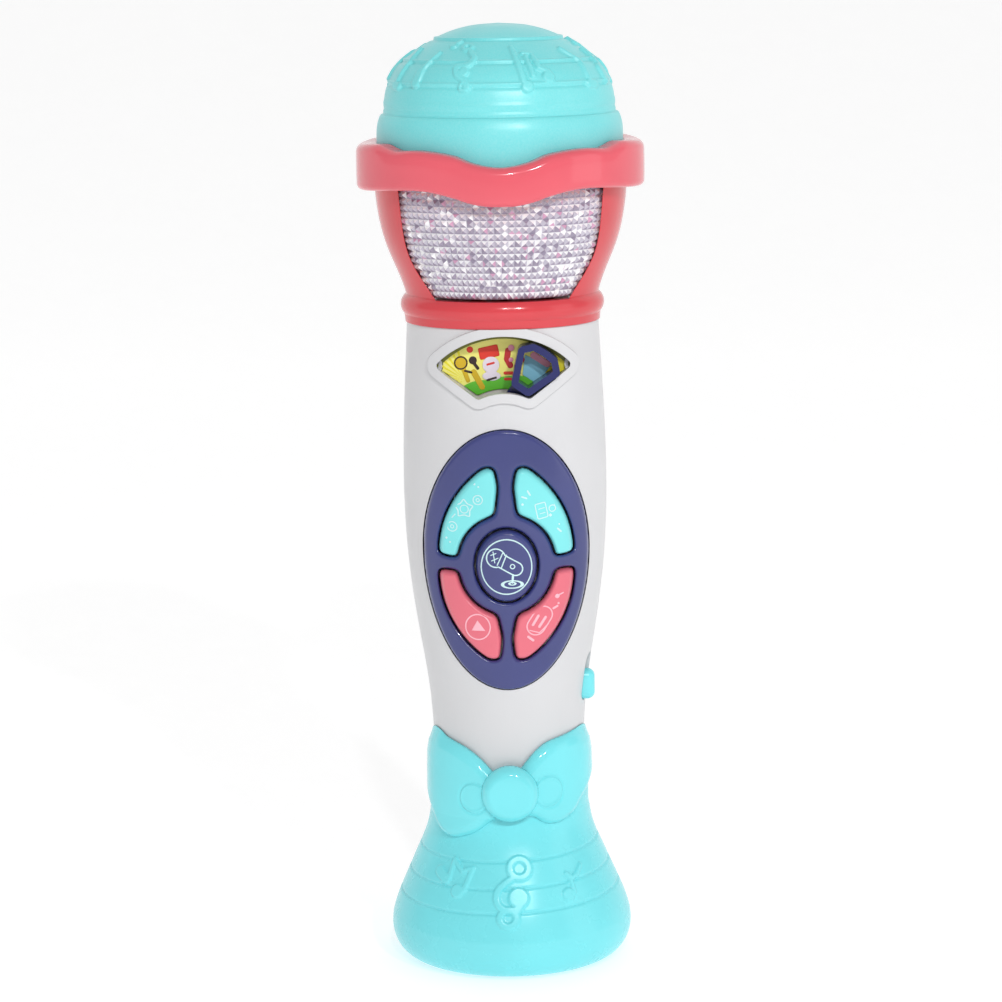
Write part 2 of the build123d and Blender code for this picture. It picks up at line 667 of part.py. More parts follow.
# ------------------------------------------------------------------ speaker
speaker_axis = Axis((0, 0, SPEAKER_Z), (0, 1, 0))
with BuildPart() as speaker_frame:
    with BuildSketch(Plane.YZ):
        with BuildLine():
            Polyline((13.6, SPEAKER_Z + SPEAKER_RADIUS), (12.6, SPEAKER_Z + SPEAKER_RADIUS),
                     (12.0, SPEAKER_Z + 16.2), (6.2, SPEAKER_Z + 9.5), (6.2, SPEAKER_Z + 4.2),
                     (7.0, SPEAKER_Z + 4.2), (7.0, SPEAKER_Z + 9.2), (12.8, SPEAKER_Z + 15.8),
                     (13.6, SPEAKER_Z + 15.8), close=True)
        make_face()
    revolve(axis=speaker_axis)
save(speaker_frame, "speaker_frame")

with BuildPart() as speaker_magnet:
    with BuildSketch(front_plane(-1.6)):
        with Locations((0, SPEAKER_Z)):
            Circle(9.0)
    extrude(amount=-4.5)
save(speaker_magnet, "speaker_magnet")

with BuildPart() as speaker_cone:
    with BuildSketch(Plane.YZ):
        with BuildLine():
            rim = Line((13.3, SPEAKER_Z + 15.6), (12.9, SPEAKER_Z + 15.6))
            under = ThreePointArc(rim @ 1, (10.2, SPEAKER_Z + 10.6), (8.4, SPEAKER_Z + 4.0))
            Line(under @ 1, (8.9, SPEAKER_Z + 4.0))
            ThreePointArc((8.9, SPEAKER_Z + 4.0), (10.7, SPEAKER_Z + 10.6), rim @ 0)
        make_face()
    revolve(axis=speaker_axis)
    with BuildSketch(front_plane(-8.4)):
        with Locations((0, SPEAKER_Z)):
            Circle(4.3)
    extrude(amount=-1.4)
save(speaker_cone, "speaker_cone")

# ------------------------------------------------------------------ head
with BuildPart() as head_cage:
    with BuildSketch(Plane.XZ):
        with BuildLine():
            neck = Polyline((22.4, NECK_FLOOR), (22.4, GRIP_TOP), (24.7, GRIP_TOP), (24.9, 168.0))
            ThreePointArc(neck @ 1, (25.8, 170.4), CAGE_LINE[0])
            outside = Spline(*CAGE_LINE)
            Line(outside @ 1, (CAGE_LINE[-1][0] - CAGE_WALL, CAGE_LINE[-1][1]))
            inside = Spline(*[(r - CAGE_WALL, z) for r, z in CAGE_LINE])
            Polyline(inside @ 0, (8.0, NECK_FLOOR_TOP - 0.2), (8.0, NECK_FLOOR), (22.4, NECK_FLOOR))
        make_face()
    revolve(axis=Axis.Z)
    with BuildSketch(Plane.XZ):
        with BuildLine():
            right = Spline(*WINDOW_LINE)
            left = Spline(*[(-x, z) for x, z in WINDOW_LINE])
            Line(right @ 1, left @ 1)
            Line(right @ 0, left @ 0)
        make_face()
    extrude(amount=40, both=True, mode=Mode.SUBTRACT)
    extrude(circles(Plane.XY.offset(NECK_FLOOR), 1.8, [(11.5, 0), (-5.75, 9.96), (-5.75, -9.96)]), amount=4.5)
save(head_cage, "head_cage")

with BuildPart() as lens_bowl:
    with BuildSketch(Plane.XZ):
        with BuildLine():
            outside = Spline(*[(r - CAGE_WALL - 0.1, z + 0.2) for r, z in CAGE_LINE])
            inside = Spline(*[(r - CAGE_WALL - LENS_WALL, z + 0.2) for r, z in CAGE_LINE])
            Line(outside @ 1, inside @ 1)
            Line(outside @ 0, inside @ 0)
        make_face()
    revolve(axis=Axis.Z)
    with BuildSketch(Plane.XY.offset(NECK_FLOOR_TOP)):
        Circle(22.0)
        Circle(15.0, mode=Mode.SUBTRACT)
    extrude(amount=LENS_WALL)
save(lens_bowl, "lens_bowl")

with BuildPart() as ring_wave:
    with BuildSketch(Plane.XZ):
        with BuildLine():
            top = Spline(*[(-x, z) for x, z in reversed(RING_TOP[1:])], *RING_TOP)
            low = Spline(*[(-x, z) for x, z in reversed(RING_BOTTOM[1:])], *RING_BOTTOM)
            Line(top @ 0, low @ 0)
            Line(top @ 1, low @ 1)
        make_face()
    extrude(amount=45, both=True)
with BuildPart() as wave_ring:
    add(ring_of_revolution([(32.0, 190), (RING_OUTER, 190), (RING_OUTER, 215), (31.15, 215),
                            (31.15, 203.55), (32.0, 203.55)]))
    add(ring_wave, mode=Mode.INTERSECT)
save(wave_ring, "wave_ring")

DOME_POSTS = [(20 * cos(radians(a)), 20 * sin(radians(a))) for a in (90, 210, 330)]
with BuildPart() as dome_hollow:
    with BuildSketch(Plane.XZ):
        with BuildLine():
            side = Polyline((0, DOME_BOTTOM - 1), (29.0, DOME_BOTTOM - 1), (29.0, 212.0), (28.6, 214.0))
            ceiling = Spline(side @ 1, (26.1, 224.2), (20.9, 230.6), (13.9, 235.3), (0, TOTAL_HEIGHT - WALL),
                             tangents=[(-0.05, 1), (-1, 0)])
            Line(ceiling @ 1, side @ 0)
        make_face()
    revolve(axis=Axis.Z)
    extrude(circles(Plane.XY.offset(DECK_HEIGHT + 1.35), 2.7, DOME_POSTS), amount=40, mode=Mode.SUBTRACT)
with BuildPart() as dome_cap:
    with BuildSketch(Plane.XZ):
        with BuildLine():
            skirt = Polyline((0, DOME_BOTTOM), (DOME_RADIUS + 0.05, DOME_BOTTOM), (DOME_RADIUS, 212.5))
            shoulder = ThreePointArc(skirt @ 1, (30.75, 215.2), (30.1, 217.6))
            step = Line(shoulder @ 1, (29.2, 218.2))
            crown = Spline(step @ 1, (27.9, 225.0), (22.4, 232.2), (14.9, 237.1), (0, TOTAL_HEIGHT),
                           tangents=[(-0.05, 1), (-1, 0)])
            Line(crown @ 1, skirt @ 0)
        make_face()
    revolve(axis=Axis.Z)
    add(dome_hollow, mode=Mode.SUBTRACT)
    extrude(circles(Plane.XY.offset(DOME_BOTTOM), 1.05, DOME_POSTS), amount=11, mode=Mode.SUBTRACT)
save(dome_cap, "dome_cap")

with BuildPart() as head_deck:
    with BuildSketch(Plane.XY.offset(DECK_HEIGHT)):
        Circle(28.8)
        with Locations(*DOME_POSTS, (1.5, 0)):
            Circle(1.3, mode=Mode.SUBTRACT)
    extrude(amount=1.3)
save(head_deck, "head_deck")

with BuildPart() as deck_screws:
    extrude(circles(Plane.XY.offset(DECK_HEIGHT), 2.1, DOME_POSTS), amount=-1.5)
    extrude(circles(Plane.XY.offset(DECK_HEIGHT), 1.0, DOME_POSTS), amount=9)
save(deck_screws, "deck_screws")

with BuildPart() as mic_boot:
    with BuildSketch(Plane.XY.offset(DECK_HEIGHT + 1.3)):
        Circle(6.5)
        Circle(4.95, mode=Mode.SUBTRACT)
    extrude(amount=7)
save(mic_boot, "mic_boot")

with BuildPart() as mic_capsule:
    with BuildSketch(Plane.XY.offset(DECK_HEIGHT + 2.5)):
        Circle(4.9)
    extrude(amount=6.7)
    fillet(mic_capsule.faces().sort_by(Axis.Z)[-1].edges(), 0.5)
save(mic_capsule, "mic_capsule")

LIGHT_BOARD_Z = NECK_FLOOR + 4.5
with BuildPart() as light_board:
    with BuildSketch(Plane.XY.offset(LIGHT_BOARD_Z)):
        Circle(13.6)
        Circle(1.4, mode=Mode.SUBTRACT)
    extrude(amount=1.4)
save(light_board, "light_board")

with BuildPart() as leds:
    with PolarLocations(10.2, 6, start_angle=30):
        with Locations((0, 0, LIGHT_BOARD_Z + 1.4)):
            Cylinder(2.5, 6.6, align=(Align.CENTER, Align.CENTER, Align.MIN))
    fillet(leds.faces().group_by(Axis.Z)[-1].edges(), 2.2)
save(leds, "leds")

with BuildPart() as light_cone:
    with BuildSketch(Plane.XZ):
        with BuildLine():
            funnel = Spline((4.0, LIGHT_BOARD_Z + 1.4), (6.6, 186), (16.6, 203.5))
            Line(funnel @ 1, (15.4, 203.5))
            inner = Spline((15.4, 203.5), (5.4, 186), (2.8, LIGHT_BOARD_Z + 1.4))
            Line(inner @ 1, funnel @ 0)
        make_face()
    revolve(axis=Axis.Z)
save(light_cone, "light_cone")

# ------------------------------------------------------------------ leads inside the grip
with BuildPart() as speaker_wires:
    for x in (-2.5, 2.5):
        add(wire(WIRE_RADIUS, (x, 8.0, 123.4), (x, 3.4, 120.4), (x, 0.6, 116.0), (x, -3.7, 113.4)))
save(speaker_wires, "speaker_wires")

with BuildPart() as battery_wires:
    add(wire(WIRE_RADIUS, (-7.4, 3.5, 111.2), (-7.4, 1.4, 114.2), (-6.4, -3.7, 115.0)))
    add(wire(WIRE_RADIUS, (7.4, 3.6, 53.2), (7.0, -0.4, 51.0), (6.4, -4.6, 53.6), (6.2, -5.2, 59.6)))
save(battery_wires, "battery_wires")

with BuildPart() as light_cable:
    add(wire(1.0, (0, -5.2, 117.4), (-0.9, -6.6, 134), (0.9, -5.2, 151),
             (0.2, -6.4, 165), (0.4, -6.0, 175.6)))
save(light_cable, "light_cable")

with BuildPart() as mic_cable:
    add(wire(WIRE_RADIUS, (1.5, 0, 206.2), (1.4, 0.3, 193), (0, 0, 179), (0.4, -0.6, 164),
             (2.4, -1.2, 148), (3.6, -4.2, 131), (4.2, -5.2, 117.6)))
save(mic_cable, "mic_cable")
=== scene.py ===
import math

import bpy
import numpy as np
from mathutils import Matrix, Vector


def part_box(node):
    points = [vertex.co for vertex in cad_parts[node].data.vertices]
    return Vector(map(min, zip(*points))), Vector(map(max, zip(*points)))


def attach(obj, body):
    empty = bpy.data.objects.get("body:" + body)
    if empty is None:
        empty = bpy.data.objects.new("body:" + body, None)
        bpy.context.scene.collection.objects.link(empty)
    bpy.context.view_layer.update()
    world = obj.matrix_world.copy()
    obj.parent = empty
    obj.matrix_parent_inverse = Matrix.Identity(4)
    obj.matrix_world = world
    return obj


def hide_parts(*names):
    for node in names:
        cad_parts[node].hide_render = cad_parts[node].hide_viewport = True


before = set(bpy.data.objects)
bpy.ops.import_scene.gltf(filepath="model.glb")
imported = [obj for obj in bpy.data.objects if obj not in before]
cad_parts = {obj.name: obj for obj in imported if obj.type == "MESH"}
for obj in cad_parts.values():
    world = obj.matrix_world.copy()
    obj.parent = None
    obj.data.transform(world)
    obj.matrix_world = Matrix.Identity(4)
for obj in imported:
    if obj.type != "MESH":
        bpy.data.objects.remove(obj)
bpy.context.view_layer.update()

MM = 0.001
ROOT = "microphone"

# Heights and radii of the object, in millimetres, in the frame's own axes
GRIP_LINE = [(19.0, 41.5), (19.3, 55), (20.2, 70), (22.6, 86), (24.8, 102), (25.9, 122), (25.4, 145),
             (24.3, 166)]
CROWN_LINE = [(29.2, 218.2), (29.1, 220.4), (28.2, 225.0), (25.9, 229.3), (22.5, 232.5), (15.1, 237.2),
              (7.8, 239.6),
              (0.0, 240.35)]
CAGE_LINE = [(24.4, 173.0), (26.5, 179), (29.0, 185.1), (31.2, 194.3), (31.9, 203.4)]
RING_TOP = [(0, 206.4), (6, 206.75), (13, 207.7), (20, 209.2), (29, 210.05), (38, 210.4), (48, 210.2),
            (54, 210.8),
            (60, 211.5), (68, 211.4), (80, 211.1), (90, 211.0)]
RING_BOTTOM = [(0, 197.0), (6, 197.1), (13, 197.9), (20, 199.2), (29, 200.35), (38, 200.7), (50, 200.4),
               (62, 200.0),
               (76, 199.6), (90, 199.4)]
RING_OUTER = 36.3
PIVOT_Z = 145.0
CENTER_BUTTON_Z = 106.9


# ---------------------------------------------------------------- curves and outlines
def smooth_line(points, steps=12):
    """Points along a smooth curve through the given ones (uniform Catmull-Rom)."""
    p = np.array(points, float)
    p = np.vstack([2 * p[0] - p[1], p, 2 * p[-1] - p[-2]])
    out = []
    for a, b, c, d in zip(p, p[1:], p[2:], p[3:]):
        for t in np.linspace(0, 1, steps, endpoint=False):
            out.append(0.5 * (2 * b + (c - a) * t + (2 * a - 5 * b + 4 * c - d) * t * t
                              + (3 * b - a - 3 * c + d) * t ** 3))
    out.append(p[-2])
    return np.array(out)


def arc(center, radius, start, end, steps=16):
    """Points on an arc, angles in degrees."""
    turn = np.radians(np.linspace(start, end, steps))
    return np.stack([center[0] + radius * np.cos(turn), center[1] + radius * np.sin(turn)], 1)


def arc_through(a, b, c, steps=24):
    """Points on the arc that runs from a through b to c."""
    ax, ay, bx, by, cx, cy = *a, *b, *c
    d = 2 * (ax * (by - cy) + bx * (cy - ay) + cx * (ay - by))
    ux = ((ax * ax + ay * ay) * (by - cy) + (bx * bx + by * by) * (cy - ay)
          + (cx * cx + cy * cy) * (ay - by)) / d
    uy = ((ax * ax + ay * ay) * (cx - bx) + (bx * bx + by * by) * (ax - cx)
          + (cx * cx + cy * cy) * (bx - ax)) / d
    radius = math.hypot(ax - ux, ay - uy)
    angles = [math.atan2(y - uy, x - ux) for x, y in (a, b, c)]
    turn = (angles[2] - angles[0]) % (2 * math.pi)
    if (angles[1] - angles[0]) % (2 * math.pi) > turn:
        turn -= 2 * math.pi
    way = angles[0] + turn * np.linspace(0, 1, steps)
    return np.stack([ux + radius * np.cos(way), uy + radius * np.sin(way)], 1)


def resample(points, spacing, closed=True):
    """The same line with evenly spaced points."""
    p = np.array(points, float)
    if closed:
        p = np.vstack([p, p[:1]])
    length = np.concatenate([[0], np.cumsum(np.linalg.norm(np.diff(p, axis=0), axis=1))])
    count = max(8, int(round(length[-1] / spacing)))
    at = np.linspace(0, length[-1], count, endpoint=not closed)
    return np.stack([np.interp(at, length, p[:, i]) for i in range(p.shape[1])], 1)


def rounded(points, radius, spacing=0.25):
    """A closed outline with its corners worn to about the given radius."""
    p = resample(points, spacing)
    passes = int((radius / spacing) ** 2)
    for _ in range(passes):
        p = 0.5 * p + 0.25 * (np.roll(p, 1, 0) + np.roll(p, -1, 0))
    return p


def radius_of(line):
    """Function from height to radius along a smooth outline."""
    fine = smooth_line(line)
    order = np.argsort(fine[:, 1])
    heights, radii = fine[order, 1], fine[order, 0]
    return lambda z: np.interp(z, heights, radii)


grip_radius = radius_of(GRIP_LINE)
cage_radius = radius_of(CAGE_LINE)


def on_grip(x, z, proud):
    """Distance in front of the axis of a point proud of the grip's surface."""
    r = grip_radius(z) + proud
    return np.sqrt(np.maximum(r * r - x * x, 1.0))


# ---------------------------------------------------------------- fields: distance, negative inside
def polygon(outline):
    ends = np.roll(outline, -1, 0)

    def field(u, v):
        best = np.full(u.shape, 1e9)
        inside = np.zeros(u.shape, bool)
        for (ax, ay), (bx, by) in zip(outline, ends):
            ex, ey = bx - ax, by - ay
            t = np.clip(((u - ax) * ex + (v - ay) * ey) / (ex * ex + ey * ey + 1e-12), 0, 1)
            best = np.minimum(best, (u - ax - t * ex) ** 2 + (v - ay - t * ey) ** 2)
            if ay != by:
                inside ^= ((ay > v) != (by > v)) & (u < ex * (v - ay) / (by - ay) + ax)
        return np.sqrt(best) * np.where(inside, -1, 1)
    return field


def stroke(points, half):
    points = np.array(points, float)

    def field(u, v):
        best = np.full(u.shape, 1e9)
        for (ax, ay), (bx, by) in zip(points, points[1:]):
            ex, ey = bx - ax, by - ay
            t = np.clip(((u - ax) * ex + (v - ay) * ey) / (ex * ex + ey * ey + 1e-12), 0, 1)
            best = np.minimum(best, (u - ax - t * ex) ** 2 + (v - ay - t * ey) ** 2)
        return np.sqrt(best) - half
    return field


def disc(center, radius, stretch=1.0):
    return lambda u, v: np.hypot((u - center[0]) / stretch, v - center[1]) - radius


def ring(center, radius, half, stretch=1.0):
    return lambda u, v: np.abs(np.hypot((u - center[0]) / stretch, v - center[1]) - radius) - half


def outline_of(field, half):
    return lambda u, v: np.abs(field(u, v)) - half


def union(*fields):
    return lambda u, v: np.minimum.reduce([f(u, v) for f in fields])


def cut(field, hole, gap=0.0):
    return lambda u, v: np.maximum(field(u, v), gap - hole(u, v))


def both(a, b):
    return lambda u, v: np.maximum(a(u, v), b(u, v))


def band(outline, half):
    """A line of the given half width along a closed outline."""
    inner = polygon(outline)
    return lambda u, v: np.abs(inner(u, v)) - half


# ---------------------------------------------------------------- meshes
def piece(name, points, faces, material, body, replaced=(), smooth=True):
    """A mesh piece from points in millimetres, riding on a body."""
    mesh = bpy.data.meshes.new(name)
    mesh.from_pydata((np.asarray(points) * MM).tolist(), [], [tuple(f) for f in faces])
    mesh.update()
    mesh.polygons.foreach_set("use_smooth", [smooth] * len(mesh.polygons))
    mesh.materials.append(material)
    obj = bpy.data.objects.new(name, mesh)
    bpy.context.scene.collection.objects.link(obj)
    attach(obj, body)
    if replaced:
        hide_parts(*replaced)
    return obj


def relief(name, field, span, step, place, edge, material, body, replaced=()):
    """A closed piece where the field is negative. place(u, v, swell) puts its back at swell 0
    and its face at swell 1, and the swell rounds over within edge of the outline."""
    (u0, u1), (v0, v1) = span
    u, v = np.meshgrid(np.arange(u0, u1 + step, step), np.arange(v0, v1 + step, step), indexing="ij")
    d = field(u, v)
    du, dv = np.gradient(d, step)
    size = np.maximum(du * du + dv * dv, 0.25)
    inside = d < 0
    cell = inside[:-1, :-1] | inside[1:, :-1] | inside[1:, 1:] | inside[:-1, 1:]
    used = np.zeros(u.shape, bool)
    for a, b in ((0, 0), (1, 0), (1, 1), (0, 1)):
        used[a:used.shape[0] - 1 + a, b:used.shape[1] - 1 + b] |= cell
    rim = used & ~inside
    u, v = np.where(rim, u - d * du / size, u), np.where(rim, v - d * dv / size, v)
    swell = np.sqrt(1 - (1 - np.clip(np.where(rim, 0, -d) / edge, 0, 1)) ** 2)
    front = place(u, v, swell)[used]
    inner = used & inside
    back = place(u, v, np.zeros(u.shape))[inner]
    front_at = np.full(u.shape, -1)
    front_at[used] = np.arange(used.sum())
    back_at = front_at.copy()
    back_at[inner] = used.sum() + np.arange(inner.sum())
    i, j = np.nonzero(cell)

    def quads(at):
        return np.stack([at[i, j], at[i + 1, j], at[i + 1, j + 1], at[i, j + 1]], 1)
    faces = np.vstack([quads(front_at), quads(back_at)[:, ::-1]])
    return piece(name, np.vstack([front, back]), faces, material, body, replaced)


def on_front(back, face):
    """Places a relief on the front of the grip, its x and z those of the field."""
    def place(u, v, swell):
        proud = back + (face - back) * swell
        return np.stack([u, -on_grip(u, v, proud), v], -1)
    return place


def on_plane(back, face):
    """Places a relief on a plane that faces the front; back and face are its y."""
    return lambda u, v, swell: np.stack([u, back + (face - back) * swell, v], -1)


def turned(name, outer, inner, height, material, replaced, columns=720, body=ROOT):
    """A turned shell from its outer and inner outlines, both listed from the bottom up.
    height(angle, run, z) raises the outer surface; an outline that reaches the axis is closed there."""
    outer, inner = np.array(outer, float), np.array(inner, float)[::-1]
    along = np.gradient(outer, axis=0)
    along /= np.linalg.norm(along, axis=1)[:, None]
    normal = np.stack([along[:, 1], -along[:, 0]], 1)
    run = np.concatenate([[0], np.cumsum(np.linalg.norm(np.diff(outer, axis=0), axis=1))])
    angle = np.linspace(-math.pi, math.pi, columns, endpoint=False)
    A, S = np.meshgrid(angle, run, indexing="ij")
    Z = np.broadcast_to(outer[:, 1], A.shape)
    lift = height(A, S, Z)
    r = outer[:, 0] + lift * normal[:, 0]
    z = outer[:, 1] + lift * normal[:, 1]
    r = np.hstack([r, np.broadcast_to(inner[:, 0], (columns, len(inner)))])
    z = np.hstack([z, np.broadcast_to(inner[:, 1], (columns, len(inner)))])
    closed = outer[-1, 0] > 0.01
    points = np.stack([r * np.sin(angle)[:, None], -r * np.cos(angle)[:, None], z], -1)
    rows = r.shape[1]
    i, j = np.meshgrid(np.arange(columns), np.arange(rows), indexing="ij")
    following, after = (i + 1) % columns, (j + 1) % rows
    a, b = i * rows + j, following * rows + j
    c, d = following * rows + after, i * rows + after
    faces = np.stack([a, b, c, d], -1)
    if closed:
        return piece(name, points.reshape(-1, 3), faces.reshape(-1, 4), material, body, replaced)
    # The two rows on the axis become one point each, and the quads beside them triangles
    top, under = len(outer) - 1, len(outer)
    a, b, c, d = (x.copy() for x in (a, b, c, d))
    for corner in (a, b, c, d):
        row = corner % rows
        corner[row == top] = top
        corner[row == under] = under
    quads = []
    for q in np.stack([a, b, c, d], -1).reshape(-1, 4):
        q = list(dict.fromkeys(int(k) for k in q))
        if len(q) >= 3:
            quads.append(q)
    points = points.reshape(-1, 3)
    keep = np.zeros(len(points), bool)
    keep[np.unique(np.concatenate([np.array(q) for q in quads]))] = True
    number = np.cumsum(keep) - 1
    quads = [[int(number[k]) for k in q] for q in quads]
    return piece(name, points[keep], quads, material, body, replaced)


# ---------------------------------------------------------------- materials
def srgb(r, g, b):
    return tuple((c / 255 / 12.92 if c / 255 <= 0.04045 else ((c / 255 + 0.055) / 1.055) ** 2.4)
                 for c in (r, g, b)) + (1.0,)


def base_material(name):
    made = bpy.data.materials.new(name)
    made.use_nodes = True
    nodes, links = made.node_tree.nodes, made.node_tree.links
    shader = nodes["Principled BSDF"]
    coords = nodes.new("ShaderNodeTexCoord").outputs["Object"]
    return made, nodes, links, shader, coords


def noise(nodes, links, coords, scale, detail=2.0):
    made = nodes.new("ShaderNodeTexNoise")
    made.inputs["Scale"].default_value = scale
    made.inputs["Detail"].default_value = detail
    links.new(coords, made.inputs["Vector"])
    return made.outputs["Fac"]


def ramp(nodes, links, value, low, high):
    made = nodes.new("ShaderNodeMapRange")
    made.inputs["From Min"].default_value = 0.3
    made.inputs["From Max"].default_value = 0.7
    made.inputs["To Min"].default_value = low
    made.inputs["To Max"].default_value = high
    links.new(value, made.inputs["Value"])
    return made.outputs["Result"]


def plastic(name, color, rough=0.3, grain=900, relief_mm=0.01, vary=0.05, milky=0.0, coat=0.0,
            edge_mm=0.0, metallic=0.0, clear=0.0, speck=0.0):
    """Moulded plastic: a slow drift of colour, a fine spark-eroded grain and uneven gloss."""
    made, nodes, links, shader, coords = base_material(name)
    drift = noise(nodes, links, coords, 45)
    fine = noise(nodes, links, coords, grain, 3)
    mix = nodes.new("ShaderNodeMix")
    mix.data_type = "RGBA"
    deep = tuple(c * (1 - vary) for c in color[:3]) + (1.0,)
    pale = tuple(min(1.0, c * (1 + vary * 0.6)) for c in color[:3]) + (1.0,)
    mix.inputs[6].default_value = deep
    mix.inputs[7].default_value = pale
    links.new(ramp(nodes, links, drift, 0.0, 1.0), mix.inputs["Factor"])
    tint = mix.outputs[2]
    if speck:
        dots = nodes.new("ShaderNodeMix")
        dots.data_type = "RGBA"
        dots.inputs[7].default_value = (0.95, 1.0, 1.0, 1.0)
        links.new(tint, dots.inputs[6])
        links.new(ramp(nodes, links, fine, 0.0, speck), dots.inputs["Factor"])
        tint = dots.outputs[2]
    links.new(tint, shader.inputs["Base Color"])
    handled = noise(nodes, links, coords, 160, 4)
    links.new(ramp(nodes, links, handled, rough * 0.88, rough * 1.15), shader.inputs["Roughness"])
    shader.inputs["Metallic"].default_value = metallic
    shader.inputs["IOR"].default_value = 1.5
    if coat:
        shader.inputs["Coat Weight"].default_value = coat
        shader.inputs["Coat Roughness"].default_value = 0.06
    if clear:
        shader.inputs["Transmission Weight"].default_value = clear
    if milky:
        shader.inputs["Subsurface Weight"].default_value = milky
        shader.inputs["Subsurface Radius"].default_value = (0.9, 1.0, 1.0)
        shader.inputs["Subsurface Scale"].default_value = 0.002
    bump = nodes.new("ShaderNodeBump")
    bump.inputs["Distance"].default_value = relief_mm * MM
    bump.inputs["Strength"].default_value = 0.6
    links.new(fine, bump.inputs["Height"])
    if edge_mm:
        bevel = nodes.new("ShaderNodeBevel")
        bevel.samples = 6
        bevel.inputs["Radius"].default_value = edge_mm * MM
        links.new(bevel.outputs["Normal"], bump.inputs["Normal"])
    links.new(bump.outputs["Normal"], shader.inputs["Normal"])
    return made


TEAL, PINK, WHITE, NAVY = srgb(122, 229, 237), srgb(228, 94, 107), srgb(214, 214, 216), srgb(58, 64, 124)
teal = plastic("teal_satin", TEAL, 0.26, 1500, 0.003, 0.04)
teal_bow = plastic("teal_gloss", TEAL, 0.1, 1500, 0.002, 0.04)
teal_edged = plastic("teal_moulded", TEAL, 0.24, 1500, 0.003, 0.04, edge_mm=0.3)
teal_dome = plastic("teal_pearl", srgb(116, 221, 224), 0.34, 2600, 0.012, 0.04, speck=0.08)
pink = plastic("pink_gloss", PINK, 0.12, 1200, 0.003, 0.05)
pink_edged = plastic("pink_moulded", srgb(214, 66, 74), 0.17, 1200, 0.003, 0.05, edge_mm=0.4)
white = plastic("white_satin", WHITE, 0.34, 2200, 0.006, 0.02, edge_mm=0.3)
navy = plastic("navy_gloss", NAVY, 0.2, 1300, 0.003, 0.1, coat=0.3)
navy_deep = plastic("navy_ring", srgb(40, 44, 100), 0.22, 1300, 0.003, 0.1)
teal_key = plastic("teal_key", srgb(128, 228, 230), 0.22, 1500, 0.003, 0.05)
pink_key = plastic("pink_key", srgb(230, 112, 128), 0.22, 1500, 0.003, 0.05)
# Lit and shaded copies of one lens plastic: after the plain wall copy come a darker one painted as shade on
# downward facets, a slightly darker one painted as shade on side facets, a white one painted as highlight
# on upward facets, and a pink one painted as a reflection.
facets = [plastic("facet_" + name, srgb(*rgb), 0.06, 500, 0.002, 0.06, clear=see_through)
          for name, rgb, see_through in (("wall", (214, 208, 218), 0.5), ("lower_painted_shade", (164, 154, 174), 0.1),
                                         ("side", (204, 198, 212), 0.1), ("upper_painted_highlight", (252, 250, 254), 0.05),
                                         ("tinted_painted_reflection", (222, 170, 200), 0.1))]
clear = facets[0]
natural = plastic("natural_plastic", srgb(214, 212, 204), 0.45, 1400, 0.02, 0.05, milky=0.1)
rubber = plastic("black_rubber", srgb(40, 40, 43), 0.75, 1500, 0.03, 0.15)
soft = plastic("silicone_keypad", srgb(205, 208, 210), 0.6, 1500, 0.02, 0.06)
board = plastic("circuit_board", srgb(34, 110, 70), 0.4, 500, 0.02, 0.2)
black = plastic("black_plastic", srgb(32, 33, 36), 0.4, 1200, 0.02, 0.12)
steel = plastic("zinc_steel", srgb(190, 190, 188), 0.32, 1700, 0.006, 0.12, metallic=1.0)
brass = plastic("spring_brass", srgb(204, 172, 96), 0.3, 1600, 0.006, 0.12, metallic=1.0)
wrap = plastic("cell_wrap", srgb(46, 74, 120), 0.3, 800, 0.006, 0.1)
paper = plastic("cone_paper", srgb(60, 56, 52), 0.8, 2400, 0.05, 0.2)
led = plastic("led_lens", srgb(240, 232, 214), 0.15, 600, 0.004, 0.05, clear=0.4)
jacket = plastic("wire_jacket", srgb(180, 40, 40), 0.4, 900, 0.01, 0.1)
card = plastic("card_print", srgb(246, 240, 130), 0.42, 900, 0.01, 0.1)
print_teal = plastic("print_white", srgb(206, 236, 238), 0.4, 1500, 0.01, 0.05)
print_pink = plastic("print_pale_pink", srgb(250, 186, 198), 0.4, 1500, 0.01, 0.05)

FINISH = {
    teal_edged: ["power_knob"], pink_edged: ["head_cage"],
    white: ["handle_front", "handle_rear", "battery_door"],
    navy_deep: ["selector_frame"],
    natural: ["card_carrier", "battery_tray", "head_deck", "light_cone", "base_plate"],
    card: ["picture_card"],
    soft: ["keypad_membrane"], rubber: ["mic_boot", "foot_ring"],
    board: ["key_board", "main_board", "selector_board", "light_board"],
    black: ["sound_chip", "power_switch", "capacitors"],
    steel: ["base_plate_screws", "base_screws", "case_screws", "key_board_screws", "carrier_screws",
            "selector_screw",
            "battery_door_screw", "deck_screws", "speaker_frame", "speaker_magnet", "mic_capsule",
            "battery_springs"],
    brass: ["battery_contacts", "selector_wiper"], wrap: ["battery_cells"], paper: ["speaker_cone"],
    led: ["leds"], jacket: ["speaker_wires", "battery_wires", "light_cable", "mic_cable"],
    teal_dome: ["dome_cap"],
}


def give(node, material):
    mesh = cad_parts[node].data
    mesh.materials.clear()
    mesh.materials.append(material)


for finish, names in FINISH.items():
    for node in names:
        give(node, finish)

